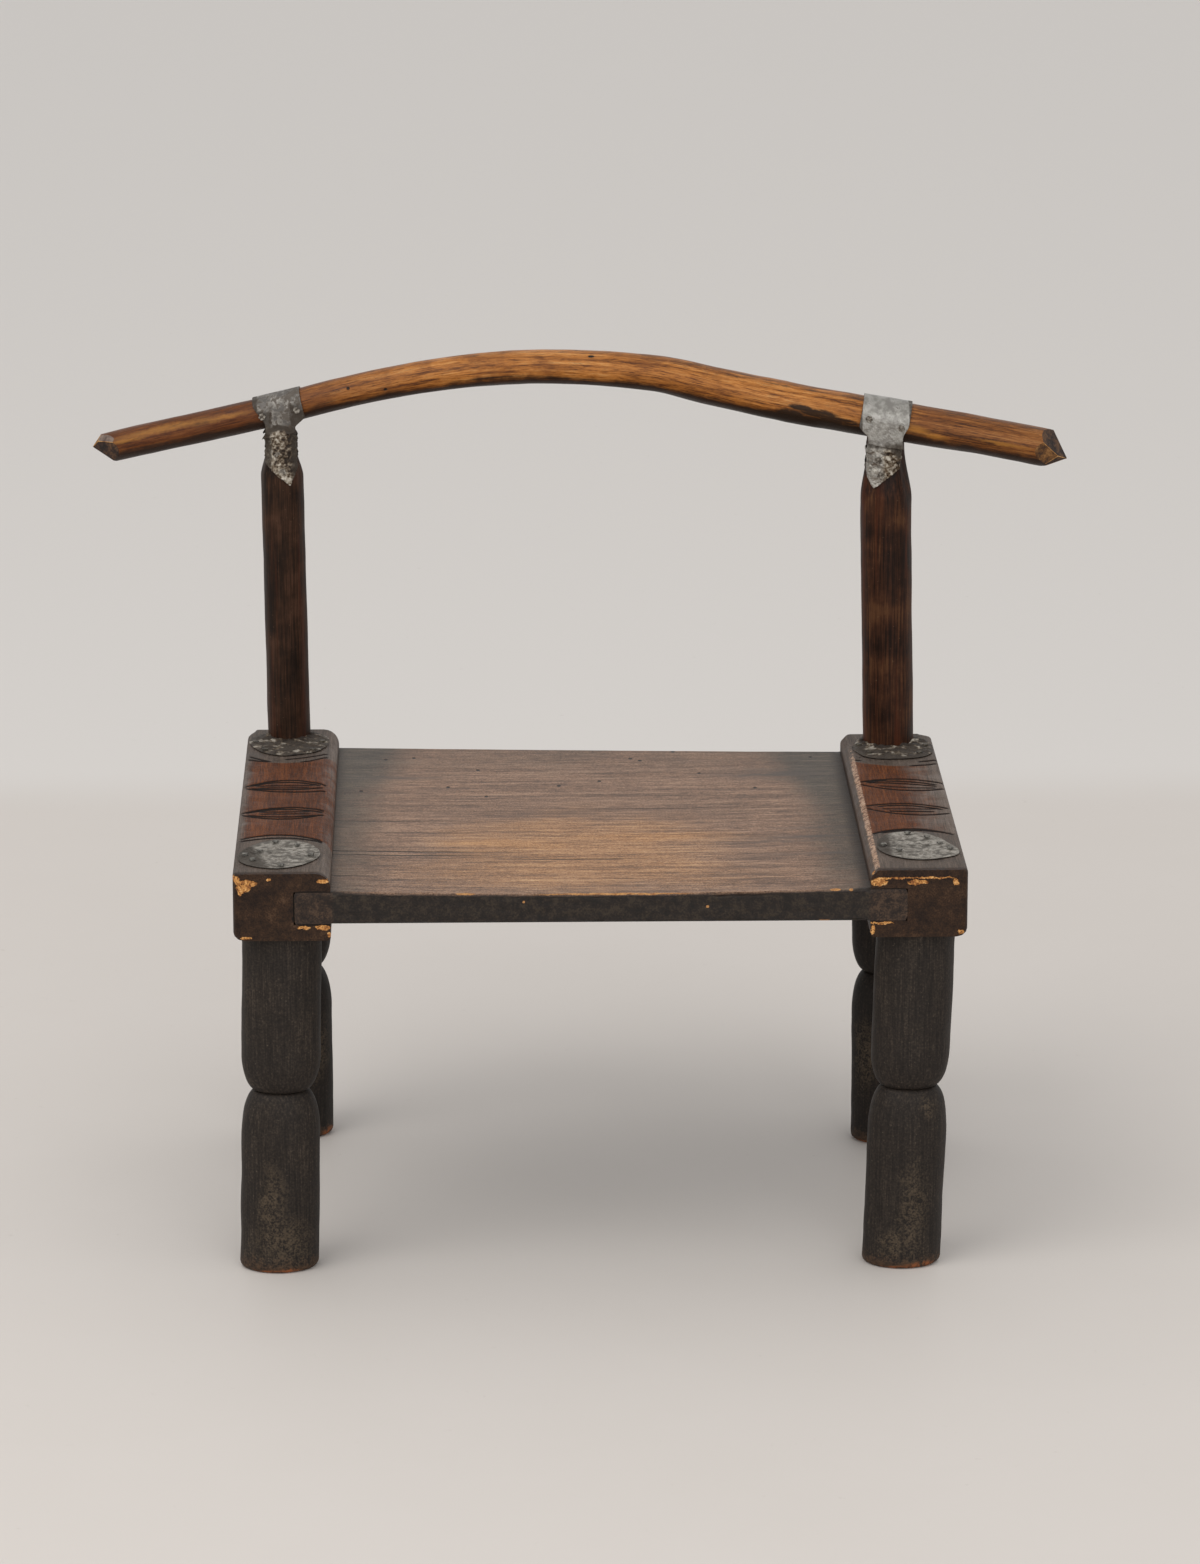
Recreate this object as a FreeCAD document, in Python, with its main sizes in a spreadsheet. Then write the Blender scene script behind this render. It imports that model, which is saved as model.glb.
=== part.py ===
import FreeCAD, Part
import math
import os

import Sketcher
from FreeCAD import Vector

# Low birthing chair: a dished seat board housed in two side rails, four carved legs tenoned up
# through the rails, two posts tenoned down into them, and a bent branch strapped over the posts.
# X runs to the sitter's left as seen from the front, Y to the back, Z up, and Z 0 is the floor.
# X 0 is midway between the tips of the branch and Y 0 is midway along the longer rail.

SIZES = {
    # Seat frame
    "seat_width": 440.0,
    "seat_offset": 6.1,
    "leg_height": 213.2,
    "rail_width": 58.4,
    "rail_height": 41.6,
    "rail_length": 338.0,
    "right_rail_shortfall": 20.0,
    "rail_edge_bevel": 2.5,
    "rail_inner_bevel": 5.5,
    "rail_lower_bevel": 5.0,
    "rail_front_bevel": 4.5,
    "rail_corner_bevel": 4.5,
    "rail_corner_taper": 12.0,
    "groove_depth": 22.0,
    # Seat board
    "board_thickness": 20.0,
    "board_drop": 11.5,
    "board_end_gap": 0.3,
    "dish_front_depth": 2.3,
    "dish_rear_depth": 0.3,
    # Legs
    "leg_width": 48.8,
    "leg_waist_width": 32.0,
    "leg_waist_height": 112.9,
    "leg_foot_width": 39.0,
    "leg_upper_round": 21.0,
    "leg_lower_round": 26.0,
    "leg_foot_round": 8.0,
    "left_leg_inset": 28.5,
    "right_leg_inset": 29.4,
    "left_front_leg_lean": -4.0,
    "right_front_leg_lean": -6.6,
    "left_rear_leg_lean": 0.6,
    "right_rear_leg_lean": 1.0,
    "front_leg_setback": 25.0,
    "rear_leg_setback": 55.0,
    "leg_tenon_width": 19.0,
    "leg_tenon_inset": 25.5,
    "front_tenon_setback": 33.0,
    "tenon_gap": 0.1,
    # Metal patches over the tenons
    "cap_width": 49.0,
    "collar_width": 52.0,
    "patch_length": 64.0,
    "patch_thickness": 1.2,
    "patch_inset": 27.0,
    "left_cap_setback": 42.0,
    "right_cap_setback": 52.0,
    "left_collar_setback": 36.4,
    "right_collar_setback": 33.0,
    "tack_head_diameter": 4.0,
    "tack_head_thickness": 0.9,
    "tack_shank_width": 1.5,
    "tack_length": 9.0,
    # Back posts
    "left_post_diameter": 27.6,
    "right_post_diameter": 33.0,
    "left_neck_diameter": 18.9,
    "right_neck_diameter": 24.2,
    "left_neck_drop": 22.5,
    "right_neck_drop": 16.6,
    "left_taper_drop": 43.0,
    "right_taper_drop": 49.6,
    "left_post_inset": 26.7,
    "right_post_inset": 28.8,
    "left_post_lean": -3.2,
    "right_post_lean": -4.4,
    "left_post_setback": 15.3,
    "right_post_setback": 18.7,
    "post_tenon_diameter": 18.0,
    "post_tenon_length": 31.0,
    "post_tenon_end_gap": 0.8,
    "saddle_depth": 4.0,
    "saddle_gap": 0.3,
    # Back rail, a bent branch
    "branch_diameter": 25.2,
    "left_branch_height": 214.7,
    "right_branch_height": 211.4,
    "arch_rise": 30.3,
    "left_overhang": 119.1,
    "right_overhang": 116.5,
    "left_droop": 28.5,
    "right_droop": 20.6,
    "left_tip_lift": 3.5,
    "right_tip_lift": -1.5,
    # Sheet metal straps
    "strap_width": 31.0,
    "strap_thickness": 1.0,
    "strap_gap": 0.4,
    "cheek_length": 15.0,
    "left_tongue_drop": 47.0,
    "right_tongue_drop": 42.0,
    "left_tongue_width": 18.0,
    "right_tongue_width": 22.0,
    "nail_head_diameter": 4.6,
    "nail_head_thickness": 1.0,
    "nail_shank_width": 1.8,
    "nail_length": 8.0,
    "cut_overrun": 2.0,
}

# Shares of the width of a leg that its depth has, and how a turned-looking end closes in:
# how far along its rounding each section lies.
LEG_FLATNESS_SHARE = 0.8
ROUNDING_SHARES = (0.0, 0.05, 0.2, 0.45, 1.0)
FOOT_ROUNDING_SHARES = (1.0, 0.3, 0.0)

# The branch between its seats on the posts: along the span, share of the rise, share of the girth.
ARCH_SHARES = (
    (0.00, 0.000, 0.790),
    (0.10, 0.356, 0.785),
    (0.25, 0.772, 0.815),
    (0.38, 0.970, 0.845),
    (0.50, 1.000, 0.869),
    (0.62, 0.896, 0.920),
    (0.72, 0.634, 0.970),
    (0.82, 0.383, 1.000),
    (0.91, 0.185, 1.000),
    (1.00, 0.000, 1.000),
)
# The branch beyond each post: along the overhang, share of the droop, share of the girth.
OVERHANG_SHARES = {
    "left": ((0.45, 0.437, 0.774), (1.0, 1.0, 0.738)),
    "right": ((0.50, 0.451, 0.972), (1.0, 1.0, 0.940)),
}
SEAT_GIRTH_SHARE = {"left": ARCH_SHARES[0][2], "right": ARCH_SHARES[-1][2]}
# Chopped facets of each tip: turn about the branch and slope to it, both in degrees.
TIP_FACETS = {
    "left": ((0, 44), (95, 48), (182, 34), (262, 46)),
    "right": ((8, 56), (92, 44), (184, 28), (272, 50)),
}
# Hand-cut outline of a patch, as shares of its half width and half length.
PATCH_OUTLINE_SHARES = (
    (-1.0, -0.22), (-0.86, -0.56), (-0.52, -0.87), (0.02, -1.0), (0.55, -0.86),
    (0.88, -0.52), (1.0, -0.12), (0.90, 0.42), (0.58, 0.84), (0.05, 1.0),
    (-0.50, 0.88), (-0.88, 0.50),
)
# Where the tacks lie on a patch, as shares of its half width and half length.
TACK_SHARES = {
    "cap_left": (
        (-0.84, -0.10), (-0.64, -0.44), (-0.48, 0.14), (-0.11, 0.76), (0.43, 0.54),
        (0.78, -0.12), (0.07, -0.84),
    ),
    "cap_right": (
        (-0.84, 0.00), (-0.18, 0.80), (0.28, 0.53), (0.56, 0.10), (-0.49, -0.36),
        (0.78, -0.26),
    ),
    "collar_left": ((-0.82, 0.00), (-0.58, -0.58), (0.60, -0.60), (0.82, 0.05)),
    "collar_right": ((-0.82, 0.05), (-0.60, -0.56), (0.62, -0.58), (0.82, 0.00)),
}
# Outline of a tongue from the cheeks down: shares of its half width and of its drop.
TONGUE_OUTLINE_SHARES = {
    "left": ((-0.98, 0.0), (-0.80, 0.66), (0.52, 1.0), (0.92, 0.74), (0.98, 0.0)),
    "right": ((-0.98, 0.0), (-1.16, 0.66), (-0.60, 1.0), (0.72, 0.62), (0.98, 0.0)),
}
# Nails through a band: shares of its half width and of the branch's radius, downwards.
BAND_NAIL_SHARES = {
    "left": ((-0.70, 0.0), (0.74, 0.1)),
    "right": ((-0.66, -0.1), (0.70, 0.1)),
}
# Nails through a tongue: shares of its half width and of its drop.
TONGUE_NAIL_SHARES = {
    "left": ((-0.10, 0.58), (0.25, 0.80)),
    "right": ((-0.35, 0.56), (-0.20, 0.80)),
}
SIDES = {"left": "-", "right": "+"}
ENDS = ("front", "rear")

doc = FreeCAD.newDocument("birthing_chair")
sheet = doc.addObject("Spreadsheet::Sheet", "Sizes")
for row, (name, value) in enumerate(SIZES.items(), start=1):
    sheet.set(f"A{row}", name)
    sheet.set(f"B{row}", str(value))
    sheet.setAlias(f"B{row}", name)
doc.recompute()


def size(name, side=""):
    """Reference to a size in the sheet, or to the one that a side has of its own."""
    return f"Sizes.{side}_{name}" if side else f"Sizes.{name}"


FRONT = "(-Sizes.rail_length / 2)"
RAIL_TOP = "(Sizes.leg_height + Sizes.rail_height)"
BOARD_TOP = f"({RAIL_TOP} - Sizes.board_drop)"
BOARD_BOTTOM = f"({BOARD_TOP} - Sizes.board_thickness)"
PATCH_TOP = f"({RAIL_TOP} + Sizes.patch_thickness)"


def across(side, inset):
    """X of a line that lies a given distance in from the outer face of a side's rail."""
    return f"(Sizes.seat_offset {SIDES[side]} (Sizes.seat_width / 2 - ({inset})))"


def outwards(side, distance):
    """A distance along X, signed so that it points away from the middle of the chair."""
    return f"({SIDES[side]} ({distance}))"


def rail_reach(side):
    """Length of a side's rail: the right one is a little shorter."""
    return "Sizes.rail_length" if side == "left" else "(Sizes.rail_length - Sizes.right_rail_shortfall)"


def rail_end(side):
    return f"({FRONT} + {rail_reach(side)})"


def place(item, x="0", y="0", z="0", yaw="0", pitch="0", roll="0"):
    """Bind where an item lies and how it is turned."""
    turn = f"rotation({yaw}; {pitch}; {roll})"
    item.setExpression("Placement", f"placement(vector({x}; {y}; {z}); {turn})")


def add(kind, label, **links):
    """A new object of the document whose named properties follow the given expressions."""
    item = doc.addObject(kind, label)
    item.Label = label
    for prop, expression in links.items():
        item.setExpression(prop, expression)
    return item


def combine(kind, label, first, *others):
    """Boolean of earlier objects: a cut or common of two, or a fuse or compound of several."""
    item = add(kind, label)
    if kind in ("Part::Cut", "Part::Common"):
        item.Base = first
        item.Tool = others[0]
    elif kind == "Part::Compound":
        item.Links = [first, *others]
    else:
        item.Shapes = [first, *others]
    return item


def plane_of(body, role):
    return next(f for f in body.Origin.OriginFeatures if f.Role == role)


def sketch_on(body, role, name, lift="0"):
    """An empty sketch on one of the body's own planes, moved along the plane's normal."""
    sketch = body.newObject("Sketcher::SketchObject", name)
    sketch.AttachmentSupport = [(plane_of(body, role), "")]
    sketch.MapMode = "FlatFace"
    sketch.setExpression("AttachmentOffset", f"placement(vector(0; 0; {lift}); rotation(0; 0; 0))")
    return sketch


def value_of(expression):
    return float(sheet.evalExpression(expression))


def bind_point(sketch, line, end, point):
    """Hold one end of a line at a pair of expressions."""
    for direction, expression in zip(("DistanceX", "DistanceY"), point):
        index = sketch.addConstraint(
            Sketcher.Constraint(direction, line, end, value_of(expression))
        )
        sketch.setExpression(f"Constraints[{index}]", expression)


def draw_outline(sketch, points):
    """A closed outline through points that are pairs of expressions."""
    corners = [Vector(value_of(x), value_of(y), 0) for x, y in points]
    for index, corner in enumerate(corners):
        following = corners[(index + 1) % len(corners)]
        sketch.addGeometry(Part.LineSegment(corner, following), False)
    for index in range(len(corners)):
        following = (index + 1) % len(corners)
        sketch.addConstraint(Sketcher.Constraint("Coincident", index, 2, following, 1))
    for index, point in enumerate(points):
        bind_point(sketch, index, 1, point)


def draw_circle(sketch, x, y, radius):
    centre = Vector(value_of(x), value_of(y), 0)
    circle = Part.Circle(centre, Vector(0, 0, 1), value_of(radius))
    index = sketch.addGeometry(circle, False)
    bind_point(sketch, index, 3, (x, y))
    held = sketch.addConstraint(Sketcher.Constraint("Radius", index, value_of(radius)))
    sketch.setExpression(f"Constraints[{held}]", radius)


def pad(body, sketch, name, length, reverse=False):
    feature = body.newObject("PartDesign::Pad", name)
    feature.Profile = sketch
    feature.Reversed = reverse
    feature.setExpression("Length", length)
    return feature


def pocket(body, sketch, name, depth=None):
    """Cut a sketch into the body: to a depth along the plane's back, or right through both ways."""
    feature = body.newObject("PartDesign::Pocket", name)
    feature.Profile = sketch
    if depth is None:
        feature.Type = "ThroughAll"
        feature.SideType = "Symmetric"
    else:
        feature.setExpression("Length", depth)
    return feature


def tenon_line(side, end):
    """X and Y of the axis of a leg's tenon."""
    x = across(side, size("leg_tenon_inset"))
    if end == "front":
        return x, f"({FRONT} + Sizes.front_tenon_setback)"
    return x, f"({rail_end(side)} - Sizes.rear_leg_setback)"


def post_line(side):
    """Y of a post and of its tenon, which stand upright in this direction."""
    return f"({rail_end(side)} - {size('post_setback', side)})"


def seat_x(side):
    """X of the middle of the branch where it lies on a post."""
    return f"({across(side, size('post_inset', side))} + {size('post_lean', side)})"


def seat_z(side):
    return f"({RAIL_TOP} + {size('branch_height', side)})"


BRANCH_RUN = f"({seat_x('right')} - {seat_x('left')})"
BRANCH_VEER = f"({post_line('right')} - {post_line('left')})"
BRANCH_YAW = f"atan2({BRANCH_VEER}; {BRANCH_RUN})"


def seat_board():
    """The board: a slab between the grooves, its top hollowed from front to back."""
    body = add("PartDesign::Body", "seat_board")
    housed = "Sizes.rail_width - Sizes.board_end_gap"
    reach = {
        side: across(side, f"Sizes.rail_width - Sizes.groove_depth + Sizes.board_end_gap")
        for side in SIDES
    }
    plan = sketch_on(body, "XY_Plane", "board_plan", BOARD_BOTTOM)
    draw_outline(
        plan,
        (
            (reach["left"], FRONT),
            (reach["right"], FRONT),
            (reach["right"], rail_end("right")),
            (reach["left"], rail_end("left")),
        ),
    )
    pad(body, plan, "board_slab", "Sizes.board_thickness")
    sections = []
    behind = "Sizes.cut_overrun"
    stations = (
        ("front", f"-({FRONT}) + {behind}", "Sizes.dish_front_depth"),
        ("rear", f"-({rail_end('left')}) - {behind}", "Sizes.dish_rear_depth"),
    )
    for end, lift, depth in stations:
        sketch = sketch_on(body, "XZ_Plane", f"dish_{end}", lift)
        draw_hollow(sketch, across("left", housed), across("right", housed), depth)
        sections.append(sketch)
    dish = body.newObject("PartDesign::SubtractiveLoft", "board_dish")
    dish.Profile = sections[0]
    dish.Sections = [sections[1]]
    dish.Ruled = True
    return body


def draw_hollow(sketch, left, right, depth):
    """A shallow arc below the board's top, closed by a lid a little above it."""
    lid = f"({BOARD_TOP} + Sizes.cut_overrun)"
    corners = ((left, BOARD_TOP), (left, lid), (right, lid), (right, BOARD_TOP))
    spots = [Vector(value_of(x), value_of(y), 0) for x, y in corners]
    for first, second in zip(spots, spots[1:]):
        sketch.addGeometry(Part.LineSegment(first, second), False)
    lowest = Vector((spots[0].x + spots[3].x) / 2, spots[0].y - value_of(depth), 0)
    arc = sketch.addGeometry(Part.Arc(spots[0], lowest, spots[3]), False)
    sketch.addConstraint(Sketcher.Constraint("Coincident", 0, 2, 1, 1))
    sketch.addConstraint(Sketcher.Constraint("Coincident", 1, 2, 2, 1))
    for line, end, point in ((0, 1, 0), (0, 2, 1), (2, 1, 2), (2, 2, 3)):
        bind_point(sketch, line, end, corners[point])
    ends = sketch.Geometry[arc]
    first, last = (1, 2) if ends.StartPoint.x < ends.EndPoint.x else (2, 1)
    sketch.addConstraint(Sketcher.Constraint("Coincident", arc, first, 0, 1))
    sketch.addConstraint(Sketcher.Constraint("Coincident", arc, last, 2, 2))
    chord = f"({right} - {left})"
    radius = f"({chord} * {chord} / 4 + {depth} * {depth}) / (2 * {depth})"
    held = sketch.addConstraint(Sketcher.Constraint("Radius", arc, value_of(radius)))
    sketch.setExpression(f"Constraints[{held}]", radius)


def rail_blank(side):
    """A rail: a grooved and bevelled bar along Y with its plan corners cut and its mortises sunk."""
    body = add("PartDesign::Body", f"{side}_rail_blank")
    edge = "Sizes.rail_edge_bevel"
    width = "Sizes.rail_width"
    inner = "Sizes.rail_inner_bevel"
    lower = "Sizes.rail_lower_bevel"
    bottom = "Sizes.leg_height"
    groove = f"{width} - Sizes.groove_depth"
    profile = (
        ("0", f"{bottom} + {lower}"),
        (lower, bottom),
        (f"{width} - {edge}", bottom),
        (width, f"{bottom} + {edge}"),
        (width, BOARD_BOTTOM),
        (groove, BOARD_BOTTOM),
        (groove, BOARD_TOP),
        (width, BOARD_TOP),
        (width, f"{RAIL_TOP} - {inner}"),
        (f"{width} - {inner}", RAIL_TOP),
        (edge, RAIL_TOP),
        ("0", f"{RAIL_TOP} - {edge}"),
    )
    section = sketch_on(body, "XZ_Plane", f"{side}_rail_section", f"-({FRONT})")
    draw_outline(section, [(across(side, inset), height) for inset, height in profile])
    pad(body, section, f"{side}_rail_bar", rail_reach(side), reverse=True)

    over = "Sizes.cut_overrun"
    bevel = "Sizes.rail_front_bevel"
    nose = sketch_on(body, "YZ_Plane", f"{side}_rail_nose")
    draw_outline(
        nose,
        (
            (f"{FRONT} - {over}", f"{RAIL_TOP} - {bevel} - {over}"),
            (f"{FRONT} + {bevel} + {over}", f"{RAIL_TOP} + {over}"),
            (f"{FRONT} - {over}", f"{RAIL_TOP} + {over}"),
        ),
    )
    pocket(body, nose, f"{side}_rail_nose_bevel")

    corner = "Sizes.rail_corner_bevel"
    taper = "Sizes.rail_corner_taper"
    rear = rail_end(side)
    slant = f"{over} * {taper} / {corner}"
    front_corner = (
        (across(side, f"-{over}"), f"{FRONT} + {corner} + {over}"),
        (across(side, f"{corner} + {over}"), f"{FRONT} - {over}"),
        (across(side, f"-{over}"), f"{FRONT} - {over}"),
    )
    rear_outer = (
        (across(side, f"-{over}"), f"{rear} - {taper} - {slant}"),
        (across(side, f"{corner} + {over}"), f"{rear} + {slant}"),
        (across(side, f"-{over}"), f"{rear} + {slant}"),
    )
    rear_inner = (
        (across(side, f"{width} + {over}"), f"{rear} - {corner} - {over}"),
        (across(side, f"{width} - {corner} - {over}"), f"{rear} + {over}"),
        (across(side, f"{width} + {over}"), f"{rear} + {over}"),
    )
    corners = {"front_corner": front_corner, "rear_outer": rear_outer, "rear_inner": rear_inner}
    for name, points in corners.items():
        sketch = sketch_on(body, "XY_Plane", f"{side}_{name}")
        draw_outline(sketch, points)
        pocket(body, sketch, f"{side}_{name}_cut")

    half = "(Sizes.leg_tenon_width / 2 + Sizes.tenon_gap)"
    for end in ENDS:
        sketch = sketch_on(body, "XY_Plane", f"{side}_{end}_mortise", RAIL_TOP)
        x, y = tenon_line(side, end)
        signs = (("-", "-"), ("+", "-"), ("+", "+"), ("-", "+"))
        draw_outline(sketch, [(f"{x} {first} {half}", f"{y} {second} {half}") for first, second in signs])
        pocket(body, sketch, f"{side}_{end}_mortise_cut")
    sketch = sketch_on(body, "XY_Plane", f"{side}_post_mortise", RAIL_TOP)
    radius = "Sizes.post_tenon_diameter / 2 + Sizes.tenon_gap"
    draw_circle(sketch, across(side, size("leg_tenon_inset")), post_line(side), radius)
    depth = "Sizes.post_tenon_length + Sizes.post_tenon_end_gap"
    pocket(body, sketch, f"{side}_post_mortise_cut", depth)
    return body


def leg_half_widths():
    """Sections of a leg's two blocks: height above the floor and half width, both expressions."""
    full = "Sizes.leg_width / 2"
    waist = "Sizes.leg_waist_width / 2"
    foot = "Sizes.leg_foot_width / 2"
    middle = "Sizes.leg_waist_height"
    upper, lower = [], []
    for share in ROUNDING_SHARES:
        swell = math.sqrt(1 - (1 - share) ** 2)
        radius = f"({waist} + ({full} - {waist}) * {swell:.4f})"
        upper.append((f"({middle} + Sizes.leg_upper_round * {share})", radius))
        lower.append((f"({middle} - Sizes.leg_lower_round * {share})", radius))
    upper.append(("Sizes.leg_height", full))
    for share in FOOT_ROUNDING_SHARES:
        swell = math.sqrt(1 - (1 - share) ** 2)
        radius = f"({foot} + ({full} - {foot}) * {swell:.4f})"
        lower.append((f"(Sizes.leg_foot_round * {share})", radius))
    return {"upper": upper, "lower": lower}


def leg(side, end):
    """A leg: two oval blocks that meet in a sharp waist, with a square tenon standing on top."""
    name = f"{end}_leg_{side}"
    top_x = across(side, size("leg_inset", side))
    lean = size(f"{end}_leg_lean", side)
    if end == "front":
        y = f"({FRONT} + Sizes.front_leg_setback)"
    else:
        y = f"({rail_end(side)} - Sizes.rear_leg_setback)"
    blocks = []
    for block, sections in leg_half_widths().items():
        ovals = []
        for number, (height, radius) in enumerate(sections):
            oval = add(
                "Part::Ellipse",
                f"{name}_{block}_oval_{number}",
                MajorRadius=radius,
                MinorRadius=f"{radius} * {LEG_FLATNESS_SHARE}",
            )
            drift = f"{lean} * (1 - {height} / Sizes.leg_height)"
            place(oval, f"{top_x} + {drift}", y, height)
            ovals.append(oval)
        loft = add("Part::Loft", f"{name}_{block}_block")
        loft.Sections = ovals
        loft.Solid = True
        loft.Ruled = True
        blocks.append(loft)
    width = "Sizes.leg_tenon_width"
    tenon = add("Part::Box", f"{name}_tenon", Length=width, Width=width, Height="Sizes.rail_height")
    corner = [f"{middle} - {width} / 2" for middle in tenon_line(side, end)]
    place(tenon, *corner, "Sizes.leg_height")
    return combine("Part::MultiFuse", name, *blocks, tenon)


def on_patch(kind, x, y, along, back):
    """X and Y of a spot on a patch, given as shares of its half width and half length."""
    return f"{x} + {size(kind + '_width')} / 2 * {along}", f"{y} + Sizes.patch_length / 2 * {back}"


def tacks(kind, side, x, y):
    """Tacks of a patch: square shanks driven down through it and flat faceted heads."""
    name = f"{kind}_tacks_{side}"
    heads, shanks = [], []
    width = "Sizes.tack_shank_width"
    for number, (along, back) in enumerate(TACK_SHARES[f"{kind}_{side}"]):
        spot = on_patch(kind, x, y, along, back)
        shank = add(
            "Part::Box",
            f"{name}_shank_{number}",
            Length=width,
            Width=width,
            Height="Sizes.tack_length",
        )
        corner = [f"{along} - {width} / 2" for along in spot]
        place(shank, *corner, f"{PATCH_TOP} - Sizes.tack_length")
        head = add(
            "Part::Prism",
            f"{name}_head_{number}",
            Circumradius="Sizes.tack_head_diameter / 2",
            Height="Sizes.tack_head_thickness",
        )
        place(head, *spot, PATCH_TOP)
        shanks.append(shank)
        heads.append(head)
    holes = combine("Part::Compound", f"{name}_holes", *shanks)
    combine("Part::MultiFuse", name, *shanks, *heads)
    return holes


def patch(name, kind, x, y, holes):
    """A thin hand-cut oval of sheet metal laid on the rail, pierced by its tacks."""
    body = add("PartDesign::Body", f"{name}_blank")
    sketch = sketch_on(body, "XY_Plane", f"{name}_outline", RAIL_TOP)
    draw_outline(sketch, [on_patch(kind, x, y, *shares) for shares in PATCH_OUTLINE_SHARES])
    pad(body, sketch, f"{name}_sheet", "Sizes.patch_thickness")
    return combine("Part::Cut", name, body, holes)


def post_solid(side, label, skin="0"):
    """A post from the top of its collar to the branch, swelled by a skin where one is asked for.

    It is turned about its own axis, which leans a little, and its foot is sawn level.
    """
    body = add("PartDesign::Body", f"{label}_turning")
    rise = f"({seat_z(side)} - {PATCH_TOP})"
    full = f"({size('post_diameter', side)} / 2 + {skin})"
    neck = f"({size('neck_diameter', side)} / 2 + {skin})"
    top = f"({rise} - {seat_radius(side)} + Sizes.saddle_depth)"
    over = "Sizes.cut_overrun"
    profile = (
        ("0", f"-{over}"),
        (full, f"-{over}"),
        (full, f"{rise} - {size('taper_drop', side)}"),
        (neck, f"{rise} - {size('neck_drop', side)}"),
        (neck, top),
        ("0", top),
    )
    sketch = sketch_on(body, "XZ_Plane", f"{label}_profile")
    draw_outline(sketch, profile)
    turning = body.newObject("PartDesign::Revolution", f"{label}_revolution")
    turning.Profile = sketch
    turning.ReferenceAxis = (sketch, ["V_Axis"])
    foot_x = across(side, size("post_inset", side))
    lean = f"atan2({size('post_lean', side)}; {rise})"
    place(body, foot_x, post_line(side), PATCH_TOP, pitch=lean)
    slab = add(
        "Part::Box",
        f"{label}_floor",
        Length=f"{full} * 4",
        Width=f"{full} * 4",
        Height=f"{over} * 2",
    )
    corner = [f"{middle} - {full} * 2" for middle in (foot_x, post_line(side))]
    place(slab, *corner, f"{PATCH_TOP} - {over} * 2")
    return combine("Part::Cut", label, body, slab)


def seat_radius(side, gap="0"):
    return f"(Sizes.branch_diameter * {SEAT_GIRTH_SHARE[side]} / 2 + {gap})"


def slope_between(first, second):
    """Rise of the branch from one point to another, as an angle in its own upright plane."""
    rise = f"{second['z']} - {first['z']}"
    run = f"({second['x']} - {first['x']}) / cos({BRANCH_YAW})"
    return f"atan2({rise}; {run})"


def length_between(first, second):
    rise = f"({second['z']} - {first['z']})"
    run = f"(({second['x']} - {first['x']}) / cos({BRANCH_YAW}))"
    return f"sqrt({rise} * {rise} + {run} * {run})"


def branch_point(x, z, girth, seat=None):
    """A point on the branch's axis, with its girth, and the side where it is a seat."""
    y = f"({post_line('left')} + ({x} - {seat_x('left')}) * {BRANCH_VEER} / {BRANCH_RUN})"
    return {"x": x, "y": y, "z": z, "girth": girth, "seat": seat}


def overhang_point(side, along, drop, girth):
    x = f"({seat_x(side)} + {outwards(side, size('overhang', side))} * {along})"
    z = f"({seat_z(side)} - {size('droop', side)} * {drop})"
    return branch_point(x, z, girth)


def branch_points():
    """Points of the branch from its left tip to its right one, as expressions."""
    points = []
    for along, drop, girth in reversed(OVERHANG_SHARES["left"]):
        points.append(overhang_point("left", along, drop, girth))
    for along, rise, girth in ARCH_SHARES:
        x = f"({seat_x('left')} * {1 - along:.2f} + {seat_x('right')} * {along})"
        chord = f"({seat_z('left')} * {1 - along:.2f} + {seat_z('right')} * {along})"
        seat = {0.0: "left", 1.0: "right"}.get(along)
        points.append(branch_point(x, f"({chord} + Sizes.arch_rise * {rise})", girth, seat))
    for along, drop, girth in OVERHANG_SHARES["right"]:
        points.append(overhang_point("right", along, drop, girth))
    return points


def branch_slope(side):
    """Slope of the branch where it lies on a post, from the points on both sides of it."""
    points = branch_points()
    index = next(n for n, point in enumerate(points) if point["seat"] == side)
    return slope_between(points[index - 1], points[index + 1])


def on_branch(point, slope, along="0"):
    """Placement with its Z along the branch, at a distance beyond a point of it."""
    spot = f"vector({point['x']}; {point['y']}; {point['z']})"
    turn = f"rotation({BRANCH_YAW}; 90 deg - {slope}; 0)"
    return f"placement({spot}; {turn}) * placement(vector(0; 0; {along}); rotation(0; 0; 0))"


def on_seat(side):
    """Placement on the branch's axis over a post, its X along the branch."""
    spot = f"vector({seat_x(side)}; {post_line(side)}; {seat_z(side)})"
    return f"placement({spot}; rotation({BRANCH_YAW}; -({branch_slope(side)}); 0))"


def along_branch(side, label, radius, length):
    """A cylinder on the branch's axis, centred on its seat over a post."""
    item = add("Part::Cylinder", label, Radius=radius, Height=length)
    seat = {"x": seat_x(side), "y": post_line(side), "z": seat_z(side)}
    item.setExpression("Placement", on_branch(seat, branch_slope(side), f"-({length}) / 2"))
    return item


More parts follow.
